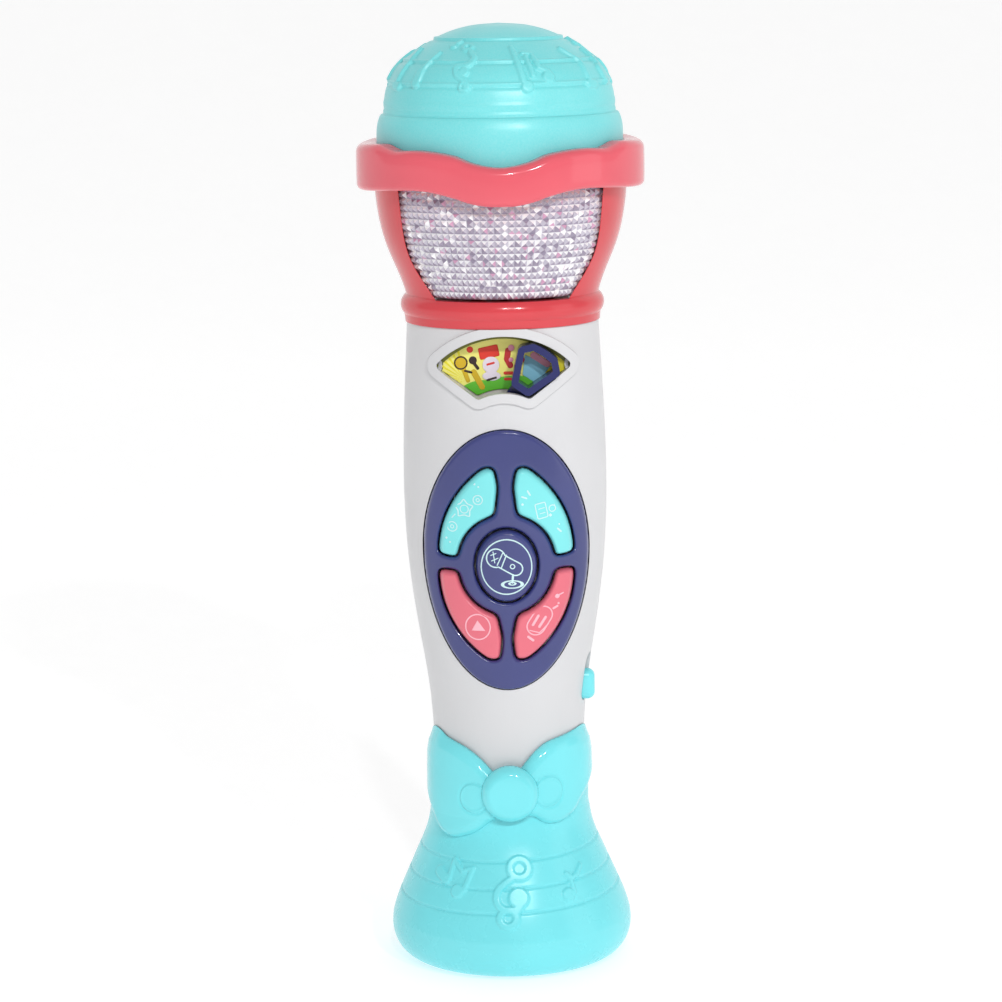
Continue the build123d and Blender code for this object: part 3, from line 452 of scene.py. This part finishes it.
# ---------------------------------------------------------------- raised music on the dome and the base
# Each list holds marks: a smooth line, a straight-sided bar, a disc or a ring, whose places are
# (angle in degrees, height)
DOME_MARKS = [
    ("ring", [(-22.5, 234.6)], 1.1, 0.5), ("line", [(-19.0, 233.6), (-15.0, 232.2), (-17.6, 230.6),
                                                    (-23.6, 230.2),
                                                    (-22.4, 228.4), (-18.6, 227.2), (-16.2, 225.4)], 0.8),
    ("disc", [(-19.0, 229.0)], 1.3), ("ring", [(-17.6, 225.6)], 1.0, 0.5),
    ("disc", [(-35.0, 235.0)], 1.1), ("bar", [(-35.5, 234.9), (-31.5, 236.0)], 0.6),
    ("bar", [(-42.5, 233.4), (-45.5, 229.8), (-46.0, 226.0)], 0.6),
    ("bar", [(-47.0, 229.0), (-47.2, 226.4)], 1.3),
    ("bar", [(8.8, 234.6), (10.6, 231.2), (12.6, 226.8)], 0.7), ("disc", [(14.2, 225.5)], 1.5),
    ("bar", [(15.4, 233.2), (20.6, 233.0), (22.4, 229.8), (27.0, 228.8)], 0.65),
    ("disc", [(26.4, 227.6)], 1.6),
    ("bar", [(16.4, 232.4), (18.0, 228.0)], 0.6),
    ("bar", [(47.5, 234.0), (54.0, 231.0), (53.0, 226.2)], 0.7),
    ("bar", [(52.0, 225.6), (56.4, 225.4)], 1.1),
]
CUP_MARKS = [
    ("ring", [(4.9, 28.4)], 2.4, 0.9), ("line", [(1.4, 26.3), (-3.0, 25.1), (-7.2, 23.4), (-8.2, 21.3),
                                                 (-5.8, 19.3),
                                                 (-1.4, 18.6), (2.6, 18.9), (4.6, 19.6)], 0.85),
    ("disc", [(3.7, 21.5)], 2.6), ("ring", [(-1.9, 16.8)], 2.1, 0.85),
    ("bar", [(4.6, 19.4), (1.8, 17.6)], 0.8),
    ("bar", [(-46.6, 26.3), (-40.4, 24.8)], 1.35), ("disc", [(-31.2, 22.4)], 1.75),
    ("bar", [(-38.6, 24.6), (-37.2, 29.6), (-30.2, 27.2), (-23.9, 28.0), (-27.2, 22.9)], 0.6),
    ("disc", [(32.2, 21.1)], 1.7), ("bar", [(36.3, 21.4), (35.6, 25.4)], 0.55),
    ("bar", [(33.6, 25.9), (36.4, 24.6), (41.0, 25.4), (45.6, 27.2)], 0.6),
]


def marks_height(marks, turns, radius_at, run_at, height, soft_edge):
    """Height of the raised marks, repeated round a turned surface."""
    def field(A, S, Z):
        best = np.full(A.shape, 9.0)
        for turn in turns:
            for kind, points, *sizes in marks:
                r = radius_at(np.mean([z for _, z in points]))
                lo = min(a for a, _ in points) + turn
                hi = max(a for a, _ in points) + turn
                mid = math.radians((lo + hi) / 2)
                across = (A - mid + math.pi) % (2 * math.pi) - math.pi
                near = np.abs(across[:, 0]) * r < math.radians(hi - lo) / 2 * r + 5
                u, v = across[near] * r, S[near]
                at = [(math.radians(a + turn) - mid, run_at(z)) for a, z in points]
                at = [(a * r, s) for a, s in at]
                if kind == "bar":
                    d = stroke(at, sizes[0])(u, v)
                elif kind == "line":
                    d = stroke(smooth_line(at, 5) if len(at) > 2 else at, sizes[0])(u, v)
                elif kind == "disc":
                    d = disc(at[0], sizes[0])(u, v)
                else:
                    d = ring(at[0], sizes[0], sizes[1])(u, v)
                best[near] = np.minimum(best[near], d)
        t = np.clip(0.5 - best / soft_edge, 0, 1)
        return height * t * t * (3 - 2 * t)
    return field


def bell(x, width):
    return np.exp(-(x / width) ** 2)


# ---------------------------------------------------------------- dome
skirt = [(31.05, 203.7), (31.04, 208.0), (31.0, 212.5)]
shoulder = [(31.0, 212.5), (30.93, 214.2), (30.75, 215.6), (30.42, 216.8), (30.1, 217.6)]
ledge = [(30.1, 217.6), (29.8, 218.0), (29.2, 218.2)]
crown = smooth_line(CROWN_LINE, 24)
dome_outer = np.vstack([resample(skirt, 0.6, False)[:-1],
                        resample(smooth_line(shoulder, 6), 0.25, False)[:-1],
                        resample(ledge, 0.12, False)[:-1], resample(crown, 0.2, False)])
dome_run = np.concatenate([[0], np.cumsum(np.linalg.norm(np.diff(dome_outer, axis=0), axis=1))])
dome_inner = [(29.0, 203.7), (29.0, 212.0), (28.6, 214.0), (26.1, 224.2), (20.9, 230.6), (13.9, 235.3),
              (0.0, 238.3)]


def dome_run_at(z):
    return np.interp(z, dome_outer[:, 1], dome_run)


def dome_radius_at(z):
    return np.interp(z, dome_outer[:, 1], dome_outer[:, 0])


dome_marks = marks_height(DOME_MARKS, (0, 118, 242), dome_radius_at, dome_run_at, 0.7, 0.6)
DOME_RIDGES = [(236.8, 0.34), (231.6, 0.3), (226.2, 0.34)]


def dome_height(A, S, Z):
    lines = np.zeros(A.shape)
    for z, high in DOME_RIDGES:
        at = S - dome_run_at(z)
        lines += high * bell(at, 0.38) - 0.3 * bell(at + 0.8, 0.45)
    lines += 0.1 * bell(S - dome_run_at(221.1), 0.5) - 0.2 * bell(S - dome_run_at(219.6), 0.45)
    marks = dome_marks(A, S, Z)
    return np.where(marks > 0.05, np.maximum(lines, marks), lines)


turned("dome_shell", dome_outer, dome_inner, dome_height, teal_dome, ["dome_cap"])

# ---------------------------------------------------------------- base
under = [(20.6, 0.4), (20.6, 2.15), (19.0, 2.15), (19.0, 2.6), (22.2, 2.6), (27.0, 4.6), (28.9, 9.2),
         (27.0, 16.0),
         (23.0, 25.4), (19.5, 33.9), (18.4, 38.9), (10.0, 38.9), (10.0, 41.4), (19.35, 41.4), (19.35, 51.0)]
lip = arc((0, 0), 1, -90, 4, 30) * (6.6, 8.2) + (24.5, 8.6)
flare = smooth_line([tuple(lip[-1]), (30.75, 11.6), (29.1, 16.6), (25.1, 25.8), (21.7, 33.9),
                     (20.35, 40.5)], 16)
cup_outer = np.vstack([[(20.6, 0.4)], lip[:-1], flare[:-1], [(20.35, 40.5), (20.35, 46.0), (20.35, 50.6)],
                       [(20.2, 50.95), (20.0, 51.0)]])
cup_outer = resample(cup_outer, 0.22, False)
cup_run = np.concatenate([[0], np.cumsum(np.linalg.norm(np.diff(cup_outer, axis=0), axis=1))])


def cup_run_at(z):
    return np.interp(z, cup_outer[:, 1], cup_run)


def cup_radius_at(z):
    return np.interp(z, cup_outer[:, 1], cup_outer[:, 0])


cup_marks = marks_height(CUP_MARKS, (0, 180), cup_radius_at, cup_run_at, 0.6, 0.5)


def cup_height(A, S, Z):
    slope = 0.85 * np.sin(A) + 0.7 * (1 - np.cos(A))
    lines = np.zeros(A.shape)
    for z in (29.9, 23.5, 17.8):
        at = S - cup_run_at(z + slope)
        lines -= 0.42 * bell(at, 0.32)
    marks = cup_marks(A, S, Z)
    return np.where(marks > 0.03, np.maximum(marks, lines), lines)


turned("base_shell", cup_outer, np.array(under[1:]), cup_height, teal, ["base_cup"])

# ---------------------------------------------------------------- bow
LEFT_WING = [(9, 51.6), (12.7, 52.9), (20.9, 55.7), (29.6, 57.8), (39.4, 59.2), (52.2, 60.3), (62, 61.5),
             (74, 61.6),
             (86, 59.6), (94, 54.5), (95, 48), (88, 43.5), (76, 41.6), (65.8, 39.2), (58.7, 36.9),
             (51.4, 35.3),
             (42.1, 34.7), (32.4, 35.6), (23.7, 37.0), (16.3, 39.1), (9, 42)]
RIGHT_WING = [(7, 53.0), (8.7, 53.8), (15.3, 56.5), (22.2, 58.6), (30.3, 60.0), (43.6, 60.8),
              (57.3, 61.4), (72, 61.6),
              (85, 60), (93, 55.5), (94, 50.8), (86, 48), (72, 46.2), (57.5, 43.2), (49.7, 40.5),
              (40.2, 38.8),
              (31.4, 38.4), (23.5, 39.0), (17.8, 40.6), (10, 42.6)]
BOW_R = 22.0
BOW_Z = 47.4


def bow_side(side):
    """Outline of one wing, unrolled round the collar."""
    wing = LEFT_WING if side < 0 else RIGHT_WING
    flat = [(side * math.radians(a) * BOW_R, z) for a, z in wing]
    return rounded(smooth_line(flat + flat[:1], 8)[:-1], 0.5)


def bow_place(u, v, swell):
    angle = u / BOW_R
    out = np.clip((np.abs(np.degrees(angle)) - 55) / 35, 0, 1)
    face = np.interp(v, [31, 40.5, 50, 62], [24.0, 22.7, 22.6, 22.2]) - 1.1 * out * out * (3 - 2 * out)
    tuck = np.interp(v, [54.5, 57.5, 60, 62], [0, 0.35, 1.15, 2.4])
    face = face - tuck * np.clip((np.abs(np.degrees(angle)) - 42) / 22, 0, 1)
    fold = np.zeros(u.shape)
    for center, z, radius in ((-9.4, 46.0, 3.75), (10.0, 47.4, 3.9)):
        at = np.hypot(u - center, v - z) - radius
        fold += 0.22 * bell(at + 0.3, 0.3) - 0.26 * bell(at - 0.2, 0.32)
    back = np.where(v < 40.5, np.minimum(cup_radius_at(np.clip(v, 20, 50)) - 0.5, 24.0),
                    np.interp(v, [50, 52], [20.4, 19.9]))
    face = np.maximum(face, back + 0.15)
    r = back + (face + fold - back) * swell
    return np.stack([r * np.sin(angle), -r * np.cos(angle), v], -1)


wings = union(polygon(bow_side(-1)), polygon(bow_side(1)), disc((0, BOW_Z), 6.2))
relief("bow_wings", wings, ((-40, 40), (30, 64)), 0.22, bow_place, 3.0, teal_bow, ROOT,
       ["bow"])


def knot_place(u, v, swell):
    near = np.hypot(u, v - BOW_Z) / 7.3
    return np.stack([u, -21.4 - swell * (2.9 + 0.65 * np.maximum(0, 1 - near * near)), v], -1)


relief("bow_knot", disc((0, BOW_Z), 7.3), ((-8, 8), (39, 56)), 0.2, knot_place, 2.4, teal_bow,
       ROOT,
       ["bow"])

# ---------------------------------------------------------------- wave ring
def both_ways(line):
    """A smooth line through points mirrored about the front and the side."""
    before = [(-a, z) for a, z in line[2:0:-1]]
    after = [(180 - a, z) for a, z in line[-2:-4:-1]]
    return smooth_line(before + line + after, 16)


ring_top, ring_bottom = both_ways(RING_TOP), both_ways(RING_BOTTOM)


def ring_section(angle):
    """The band's closed section at an angle: a fat rounded face outside, a straight wall inside."""
    round_to = abs((math.degrees(angle) + 90) % 180 - 90)
    top = np.interp(round_to, ring_top[:, 0], ring_top[:, 1])
    low = np.interp(round_to, ring_bottom[:, 0], ring_bottom[:, 1])
    r_out, r_in, r_high = RING_OUTER, 32.0, 31.15
    face = [(r_in + 0.35, low), (r_out - 1.4, low)]
    face += list(arc((r_out - 1.55, low + 1.5), 1.5, -84, -4, 8))
    face += [(r_out - 0.02 * (2 * t - 1) ** 2, low + 2.0 + (top - low - 4.4) * t) for t in (0.2, 0.4,
        0.6, 0.8)]
    face += list(arc((r_out - 2.15, top - 2.1), 2.1, 2, 86, 10))
    face += [(r_high + 0.5, top), (r_high + 0.1, top - 0.1), (r_high, top - 0.5)]
    step_z = 203.6
    face += [(r_high, step_z + 0.1), (r_high + 0.1, step_z), (r_in - 0.1, step_z), (r_in, step_z - 0.1)]
    face += [(r_in, low + 0.35)]
    return face


RING_COLUMNS = 400
ring_points, ring_faces = [], []
for k in range(RING_COLUMNS):
    turn = 2 * math.pi * k / RING_COLUMNS
    section = ring_section(turn)
    ring_points += [(r * math.sin(turn), -r * math.cos(turn), z) for r, z in section]
count = len(section)
for k in range(RING_COLUMNS):
    for m in range(count):
        n, following = (m + 1) % count, (k + 1) % RING_COLUMNS
        ring_faces.append((k * count + m, following * count + m, following * count + n, k * count + n))
piece("wave_band", ring_points, ring_faces, pink, ROOT, ["wave_ring"])

# ---------------------------------------------------------------- faceted lens
LENS_COLUMNS, LENS_ROWS = 108, 18
LENS_LOW, LENS_HIGH = 173.3, 203.2
FACET = 0.8
WINDOW = np.array([(16.5, 172.7), (19.0, 176.5), (23.0, 184.0), (24.3, 190.0), (25.4, 201.6)])


def lens_point(a, z, inset):
    """Point of the lens; between the window's edges the facets stand forward into the opening."""
    r = cage_radius(z - 0.2) - 1.8 - inset
    if inset <= FACET:
        inside = np.interp(z, WINDOW[:, 1], WINDOW[:, 0]) - abs(r * math.sin(a))
        r += 1.25 * min(max(inside / 0.4 - 0.4, 0), 1) * min(max((202 - z) / 2, 0), 1)
    return r * math.sin(a), -r * math.cos(a), z


def lens_row(z, inset):
    return [lens_point(2 * math.pi * k / LENS_COLUMNS, z, inset) for k in range(LENS_COLUMNS)]


# Painted light on the lens: each pyramid's lower facet takes the painted-shade copy, its sides the side
# shade copy and its top the painted-highlight copy, and a few facets at random take the painted highlight,
# the painted shade or the painted pink reflection instead.
glint_and_shade_pick = np.random.default_rng(7)
lens_points, lens_faces, facet_light_and_shade = [], [], {}
levels = np.linspace(LENS_LOW, LENS_HIGH, LENS_ROWS + 1)
for z in levels:
    lens_points += lens_row(z, FACET)
inner_wall = [(203.2, 1.5), (190.0, 1.5), (180.0, 1.5), (174.8, 1.5)]
for z, inset in inner_wall:
    lens_points += lens_row(z, inset)
for r, z in ((15.0, 174.8), (15.0, 173.25), (21.5, 173.25)):
    lens_points += [(r * math.sin(a), -r * math.cos(a), z)
                    for a in (2 * math.pi * k / LENS_COLUMNS for k in range(LENS_COLUMNS))]
rings = len(lens_points) // LENS_COLUMNS
for row in range(rings):
    for k in range(LENS_COLUMNS):
        n, above = (k + 1) % LENS_COLUMNS, (row + 1) % rings
        quad = [row * LENS_COLUMNS + k, row * LENS_COLUMNS + n, above * LENS_COLUMNS + n,
                above * LENS_COLUMNS + k]
        if row >= LENS_ROWS:
            lens_faces.append(quad)
            continue
        z = (levels[row] + levels[row + 1]) / 2
        a = 2 * math.pi * (k + 0.5) / LENS_COLUMNS
        lens_points.append(lens_point(a, z, 0.05))
        tip = len(lens_points) - 1
        for m, shade_by_facing in enumerate((1, 2, 3, 2)):
            facet_light_and_shade[len(lens_faces) + m] = int(glint_and_shade_pick.choice([shade_by_facing, 4, 3, 1],
                                                                  p=[0.78, 0.05, 0.09, 0.08]))
        lens_faces += [(quad[m], quad[(m + 1) % 4], tip) for m in range(4)]
lens = piece("lens_facets", lens_points, lens_faces, clear, ROOT, ["lens_bowl"],
             smooth=False)
for facet in facets[1:]:
    lens.data.materials.append(facet)
for face_at, kind in facet_light_and_shade.items():
    lens.data.polygons[face_at].material_index = kind

# ---------------------------------------------------------------- control panel and its buttons
def mirrored(outline):
    return outline * np.array([-1, 1])


def petal(outer, side, inner):
    return rounded(np.vstack([arc_through(*outer), side, arc_through(*inner)]), 1.5)


TEAL_KEY = petal([(-16.9, 109.4), (-13.4, 122.6), (-5.2, 131.7)], [(-2.9, 131.6), (-2.0, 127.0)],
                 [(-2.9, 119.8), (-9.2, 116.0), (-12.2, 108.8)])
PINK_KEY = petal([(-16.9, 105.2), (-13.4, 91.5), (-4.6, 82.3)], [(-2.0, 82.4), (-1.4, 88.0)],
                 [(-2.6, 94.2), (-9.0, 97.9), (-12.2, 105.2)])
turn = np.linspace(0, 2 * math.pi, 160, endpoint=False)
CENTER_KEY = np.stack([7.7 * np.cos(turn), CENTER_BUTTON_Z + 9.3 * np.sin(turn)], 1)
PANEL = np.stack([20.9 * np.cos(turn), 110 + np.where(np.sin(turn) > 0, 31.2, 35.8) * np.sin(turn)], 1)
KEYS = {
    "button_teal_left": (TEAL_KEY, teal_key, "teal_button"),
    "button_teal_right": (mirrored(TEAL_KEY), teal_key, "teal_button"),
    "button_pink_left": (PINK_KEY, pink_key, "pink_button"),
    "button_pink_right": (mirrored(PINK_KEY), pink_key, "pink_button"),
    "button_center": (CENTER_KEY, navy, "navy_plastic"),
}

key_fields = {node: polygon(outline) for node, (outline, *_) in KEYS.items()}
panel_field = cut(polygon(PANEL), union(*key_fields.values()), 0.32)
relief("panel_face", panel_field, ((-21.5, 21.5), (73.5, 142)), 0.3, on_front(-0.35, 0.8), 0.9, navy,
       ROOT, ["control_panel"])

for node, (outline, material, slot) in KEYS.items():
    span = ((outline[:, 0].min() - 0.4, outline[:, 0].max() + 0.4),
            (outline[:, 1].min() - 0.4, outline[:, 1].max() + 0.4))
    relief(node + "_cap", key_fields[node], span, 0.22, on_front(-0.8, 1.9), 1.2, material,
           node + "_body",
           [node])

# ---------------------------------------------------------------- printed pictures on the buttons
def star(center, radius, inner=0.5, points=5, turn=90):
    ways = [math.radians(turn + 180 / points * k) for k in range(2 * points)]
    return np.array([(center[0] + radius * (1 if k % 2 == 0 else inner) * math.cos(w),
                      center[1] + radius * (1 if k % 2 == 0 else inner) * math.sin(w)) for k,
                      w in enumerate(ways)])


def box_outline(center, wide, high, lean=0.0):
    c, s = math.cos(math.radians(lean)), math.sin(math.radians(lean))
    corners = [(-wide, -high), (wide, -high), (wide, high), (-wide, high)]
    return np.array([(center[0] + x * c - y * s, center[1] + x * s + y * c) for x, y in corners])


MIC_HEAD = union(disc((-2.6, 109.2), 2.35), stroke([(-2.2, 109.0), (2.3, 106.4)], 1.7))
PRINTS = {
    "button_teal_left": (print_teal, [
        band(rounded(star((-10.4, 121.6), 2.5, 0.6), 0.4, 0.15), 0.17), ring((-10.3, 121.5), 1.0, 0.14),
        ring((-6.9, 123.9), 1.15, 0.15), ring((-6.9, 123.9), 0.4, 0.13), ring((-13.4, 116.9), 1.2, 0.15),
        ring((-13.4, 116.9), 0.4, 0.13), disc((-8.9, 127.4), 0.28), disc((-7.7, 127.9), 0.34),
        disc((-6.7, 127.2), 0.26),
        disc((-14.9, 113.9), 0.3), disc((-14.0, 112.9), 0.26),
        stroke([(-12.6, 120.1), (-13.4, 119.2)], 0.15)]),
    "button_teal_right": (print_teal, [
        band(rounded(box_outline((8.9, 120.9), 1.3, 1.9, 12), 0.35, 0.15), 0.16),
        stroke([(8.2, 121.3), (9.6, 121.6)], 0.13), stroke([(8.5, 120.1), (9.8, 120.4)], 0.13),
        ring((11.6, 121.3), 0.8, 0.15), stroke([(12.3, 121.6), (11.9, 123.3)], 0.14),
        disc((11.1, 119.6), 0.4),
        stroke([(5.5, 126.0), (6.1, 125.0)], 0.24), stroke([(4.1, 124.6), (5.2, 124.2)], 0.24),
        disc((4.2, 122.7), 0.34), stroke([(12.9, 116.0), (13.7, 115.2)], 0.24), disc((13.3, 117.1), 0.24)]),
    "button_pink_left": (print_pink, [
        ring((-7.4, 91.2), 3.3, 0.2, 0.93), polygon(np.array([(-9.0, 90.2), (-7.5, 93.0), (-5.5, 90.2)])),
        stroke([(-8.3, 96.2), (-5.4, 94.3)], 0.17), stroke([(-7.6, 96.7), (-5.1, 95.0)], 0.17)]),
    "button_pink_right": (print_pink, [
        outline_of(stroke([(7.2, 91.2), (9.0, 94.0)], 2.3), 0.19), stroke([(6.4, 91.6), (7.8, 93.9)], 0.36),
        stroke([(8.0, 91.0), (9.6, 93.4)], 0.36), stroke([(5.6, 90.2), (8.0, 89.4), (10.3, 91.6)], 0.16),
        stroke([(5.2, 88.5), (6.4, 87.5)], 0.34), disc((12.6, 98.6), 0.6),
        stroke([(13.1, 98.9), (14.1, 99.3)], 0.2),
        stroke([(11.6, 95.5), (12.6, 96.0)], 0.3), disc((12.9, 96.7), 0.3)]),
    "button_center": (print_teal, [
        ring((0, CENTER_BUTTON_Z), 7.0, 0.2, 0.9), outline_of(MIC_HEAD, 0.2),
        stroke([(-0.9, 110.5), (-2.3, 107.4)], 0.17), stroke([(0.0, 110.0), (-1.3, 106.7)], 0.17),
        ring((1.5, 107.0), 0.55, 0.16), stroke([(-3.9, 109.9), (-2.6, 110.4)], 0.15),
        stroke([(-3.7, 108.5), (-2.1, 109.2)], 0.15), stroke([(-3.3, 110.8), (-2.9, 108.0)], 0.15),
        stroke([(1.6, 104.8), (1.4, 102.9)], 0.3), ring((1.4, 102.4), 0.95, 0.18, 2.6),
        ring((1.4, 102.6), 0.35, 0.15, 2.2)]),
}
for node, (material, shapes) in PRINTS.items():
    outline = KEYS[node][0]
    span = ((outline[:, 0].min() + 0.6, outline[:, 0].max() - 0.6),
            (outline[:, 1].min() + 0.6, outline[:, 1].max() - 0.6))
    inside = key_fields[node]

    def printed(u, v, shapes=shapes, inside=inside):
        return np.maximum(union(*shapes)(u, v), inside(u, v) + 1.2)
    relief(node + "_print", printed, span, 0.09, on_front(1.86, 1.95), 0.12, material,
           node + "_body")

# ---------------------------------------------------------------- ring of the picture selector
REST_TURN = math.radians(34.5)
SELECTOR_RING = [(3.6, 18.5), (6.2, 15.8), (2.6, 6.9), (-2.6, 6.9), (-6.2, 15.8), (-3.6, 18.5), (0, 18.95)]
selector_line = np.array([(x * math.cos(REST_TURN) + w * math.sin(REST_TURN),
                           PIVOT_Z - x * math.sin(REST_TURN) + w * math.cos(REST_TURN)) for x,
                           w in SELECTOR_RING])
selector_line = rounded(selector_line, 1.0)
selector_field = polygon(selector_line)


def selector_place(u, v, swell):
    """The ring slopes back a little away from its pivot, and its front edges are well rounded."""
    reach = np.hypot(u, v - PIVOT_Z)
    return np.stack([u, -18.2 - swell * (7.7 - reach * 0.1), v], -1)


relief("selector_ring", lambda u, v: np.maximum(selector_field(u, v), -1.75 - selector_field(u, v)),
       ((-1, 17), (148, 166)), 0.13, selector_place, 0.8, navy_deep, "selector")

# ---------------------------------------------------------------- picture: a little band of instruments
FAN = rounded(np.vstack([arc_through((-16.9, 156.3), (0, 164.1), (16.9, 156.3)),
                         arc_through((6.5, 148.7), (0, 150.3), (-6.5, 148.7))]), 0.7)
fan_field = polygon(FAN)
# The olive paint is used only for the painted shadow strip along the top of the card.
paints = {name: plastic("paint_" + name, srgb(*rgb), 0.42, 900, 0.01, 0.08) for name, rgb in {
    "pale": (246, 240, 130), "olive_shadow": (112, 116, 22), "green": (96, 196, 48), "yellow": (238, 226, 40),
    "gold": (214, 178, 20), "red": (226, 50, 30), "brick": (196, 40, 44), "black": (44, 24, 22),
    "sky": (140, 208, 232), "rose": (236, 150, 176), "cloud": (236, 226, 238)}.items()}
RAYS = [polygon(np.array([(-9.4 + 11 * math.cos(w - 0.045), 152.6 + 11 * math.sin(w - 0.045)),
                          (-9.4 + 11 * math.cos(w + 0.045), 152.6 + 11 * math.sin(w + 0.045)),
                          (-9.4, 152.6)]))
        for w in np.radians(np.arange(104, 214, 11))]
PICTURE = [
    ("rays", "yellow", 0, RAYS + [disc((12.4, 158.4), 5.5)]),
    ("hill", "green", 1, [disc((3.0, 139.0), 14.6, 1.35), disc((-5.0, 148.0), 4.6, 1.5)]),
    # Painted shadow: an olive strip along the top edge of the picture, where the window's upper lip shades
    # the card.
    ("painted_lip_shadow", "olive_shadow", 2, [lambda u, v: -fan_field(u, v + 1.15)]),
    ("maraca", "gold", 2, [disc((-10.6, 157.0), 1.75), stroke([(-9.9, 155.4), (-8.9, 152.6)], 0.55),
                           stroke([(-7.4, 154.6), (-5.4, 150.9)], 0.75)]),
    ("maraca_line", "black", 3, [ring((-10.6, 157.0), 1.5, 0.2), disc((-7.6, 157.6), 1.0),
                                 stroke([(-7.4, 157.0), (-6.4, 155.6)], 0.4),
                                 stroke([(-9.6, 155.0), (-8.0, 154.6)], 0.3)]),
    ("drum_cap", "red", 2, [polygon(rounded(box_outline((-3.6, 159.6), 2.5, 1.5, 12), 0.4, 0.15)),
                            disc((-8.3, 160.3), 0.8)]),
    ("drum_body", "cloud", 3, [disc((-3.1, 156.4), 2.1, 1.0), disc((-3.0, 153.6), 1.2, 1.9)]),
    ("drum_bands", "red", 4, [stroke([(-4.0, 156.5), (-2.4, 156.9)], 0.3),
                              stroke([(0.4, 154.3), (2.6, 154.3)], 0.4),
                              stroke([(0.4, 152.8), (2.6, 152.8)], 0.35)]),
    ("sticks", "black", 4, [stroke([(-4.0, 152.6), (-1.9, 153.2)], 0.3)]),
    ("guitar", "brick", 3, [stroke([(1.2, 159.9), (0.9, 157.8), (1.7, 156.2)], 0.75),
                            disc((4.6, 157.6), 0.75)]),
    ("guitar_top", "rose", 4, [disc((2.0, 160.6), 0.8), disc((1.9, 157.6), 0.6)]),
    ("bucket", "sky", 2, [polygon(np.array([(5.4, 158.8), (11.8, 156.0), (8.3, 151.4), (4.7, 153.8)]))]),
    ("bucket_top", "rose", 3, [stroke([(7.6, 158.6), (10.9, 156.4)], 0.85)]),
]
card_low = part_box("picture_card")[0]
card_front = card_low.y / MM
for name, paint, layer, shapes in PICTURE:
    def painted(u, v, shapes=shapes):
        return np.maximum(union(*shapes)(u, v), fan_field(u, v))
    front = card_front - 0.03 * (layer + 1)
    relief("card_" + name, painted, ((-17.5, 17.5), (148, 165)), 0.15, on_plane(front + 0.05, front),
           0.1, paints[paint],
           ROOT)

# ---------------------------------------------------------------- camera, floor and light
CAMERA_PLACE = (0, -0.832, 0.261)
CAMERA_PITCH = 80.3           # degrees up from straight down
CAMERA_ROLL = -0.89
CAMERA_LENS = 118.35
CAMERA_SHIFT = (-0.0045, 0.0007)
WORLD_LIGHT = 0.48
FLOOR_LIGHT = 0.56            # keeps the paper floor white under soft lamps
LOOK_AT = (0, 0, 0.13)
SMALL_LAMP = (0.03, 0.026)

scene = bpy.context.scene
camera_data = bpy.data.cameras.new("camera")
camera_data.lens = CAMERA_LENS
camera_data.sensor_width = 36
camera_data.shift_x, camera_data.shift_y = CAMERA_SHIFT
camera_data.clip_end = 20
camera = bpy.data.objects.new("camera", camera_data)
scene.collection.objects.link(camera)
camera.matrix_world = (Matrix.Translation(CAMERA_PLACE) @ Matrix.Rotation(math.radians(CAMERA_PITCH), 4,
        "X")
                       @ Matrix.Rotation(math.radians(CAMERA_ROLL), 4, "Z"))
scene.camera = camera
scene.view_settings.view_transform = "Standard"

floor_color = plastic("floor_paper", srgb(206, 206, 206), 0.9, 300, 0.02, 0.01)
sweep = [(-3.0, -0.0002), (1.2, -0.0002)] + [(1.2 + 1.5 * math.sin(a), 1.5 - 1.5 * math.cos(a) - 0.0002)
                                             for a in np.linspace(0.05, math.pi / 2, 24)] + [(2.7, 6.0)]
floor_mesh = bpy.data.meshes.new("floor")
floor_mesh.from_pydata([(x, y, z) for y, z in sweep for x in (-6, 6)], [],
                       [(2 * k, 2 * k + 1, 2 * k + 3, 2 * k + 2) for k in range(len(sweep) - 1)])
floor_mesh.polygons.foreach_set("use_smooth", [True] * len(floor_mesh.polygons))
floor_mesh.materials.append(floor_color)
floor_glow = floor_color.node_tree.nodes["Principled BSDF"]
floor_glow.inputs["Emission Color"].default_value = (1.0, 1.0, 1.0, 1.0)
floor_glow.inputs["Emission Strength"].default_value = FLOOR_LIGHT
floor = bpy.data.objects.new("floor", floor_mesh)
scene.collection.objects.link(floor)

world = bpy.data.worlds.new("studio")
world.use_nodes = True
world.node_tree.nodes["Background"].inputs["Color"].default_value = (1.0, 1.0, 1.0, 1.0)
world.node_tree.nodes["Background"].inputs["Strength"].default_value = WORLD_LIGHT
scene.world = world


def softbox(name, position, aim, size, power, tint=(1, 1, 1)):
    data = bpy.data.lights.new(name, "AREA")
    data.shape = "RECTANGLE"
    data.size, data.size_y = size
    data.energy = power
    data.color = tint
    lamp = bpy.data.objects.new(name, data)
    scene.collection.objects.link(lamp)
    lamp.location = position
    lamp.rotation_euler = (Vector(aim) - Vector(position)).to_track_quat("-Z", "Y").to_euler()


softbox("key", (0.28, -0.8, 0.62), LOOK_AT, SMALL_LAMP, 2.2)
softbox("second", (0.06, -0.85, 0.64), LOOK_AT, SMALL_LAMP, 1.7)
softbox("fill", (0.9, -0.3, 0.35), (0, 0, 0.12), (0.5, 0.7), 0.8)
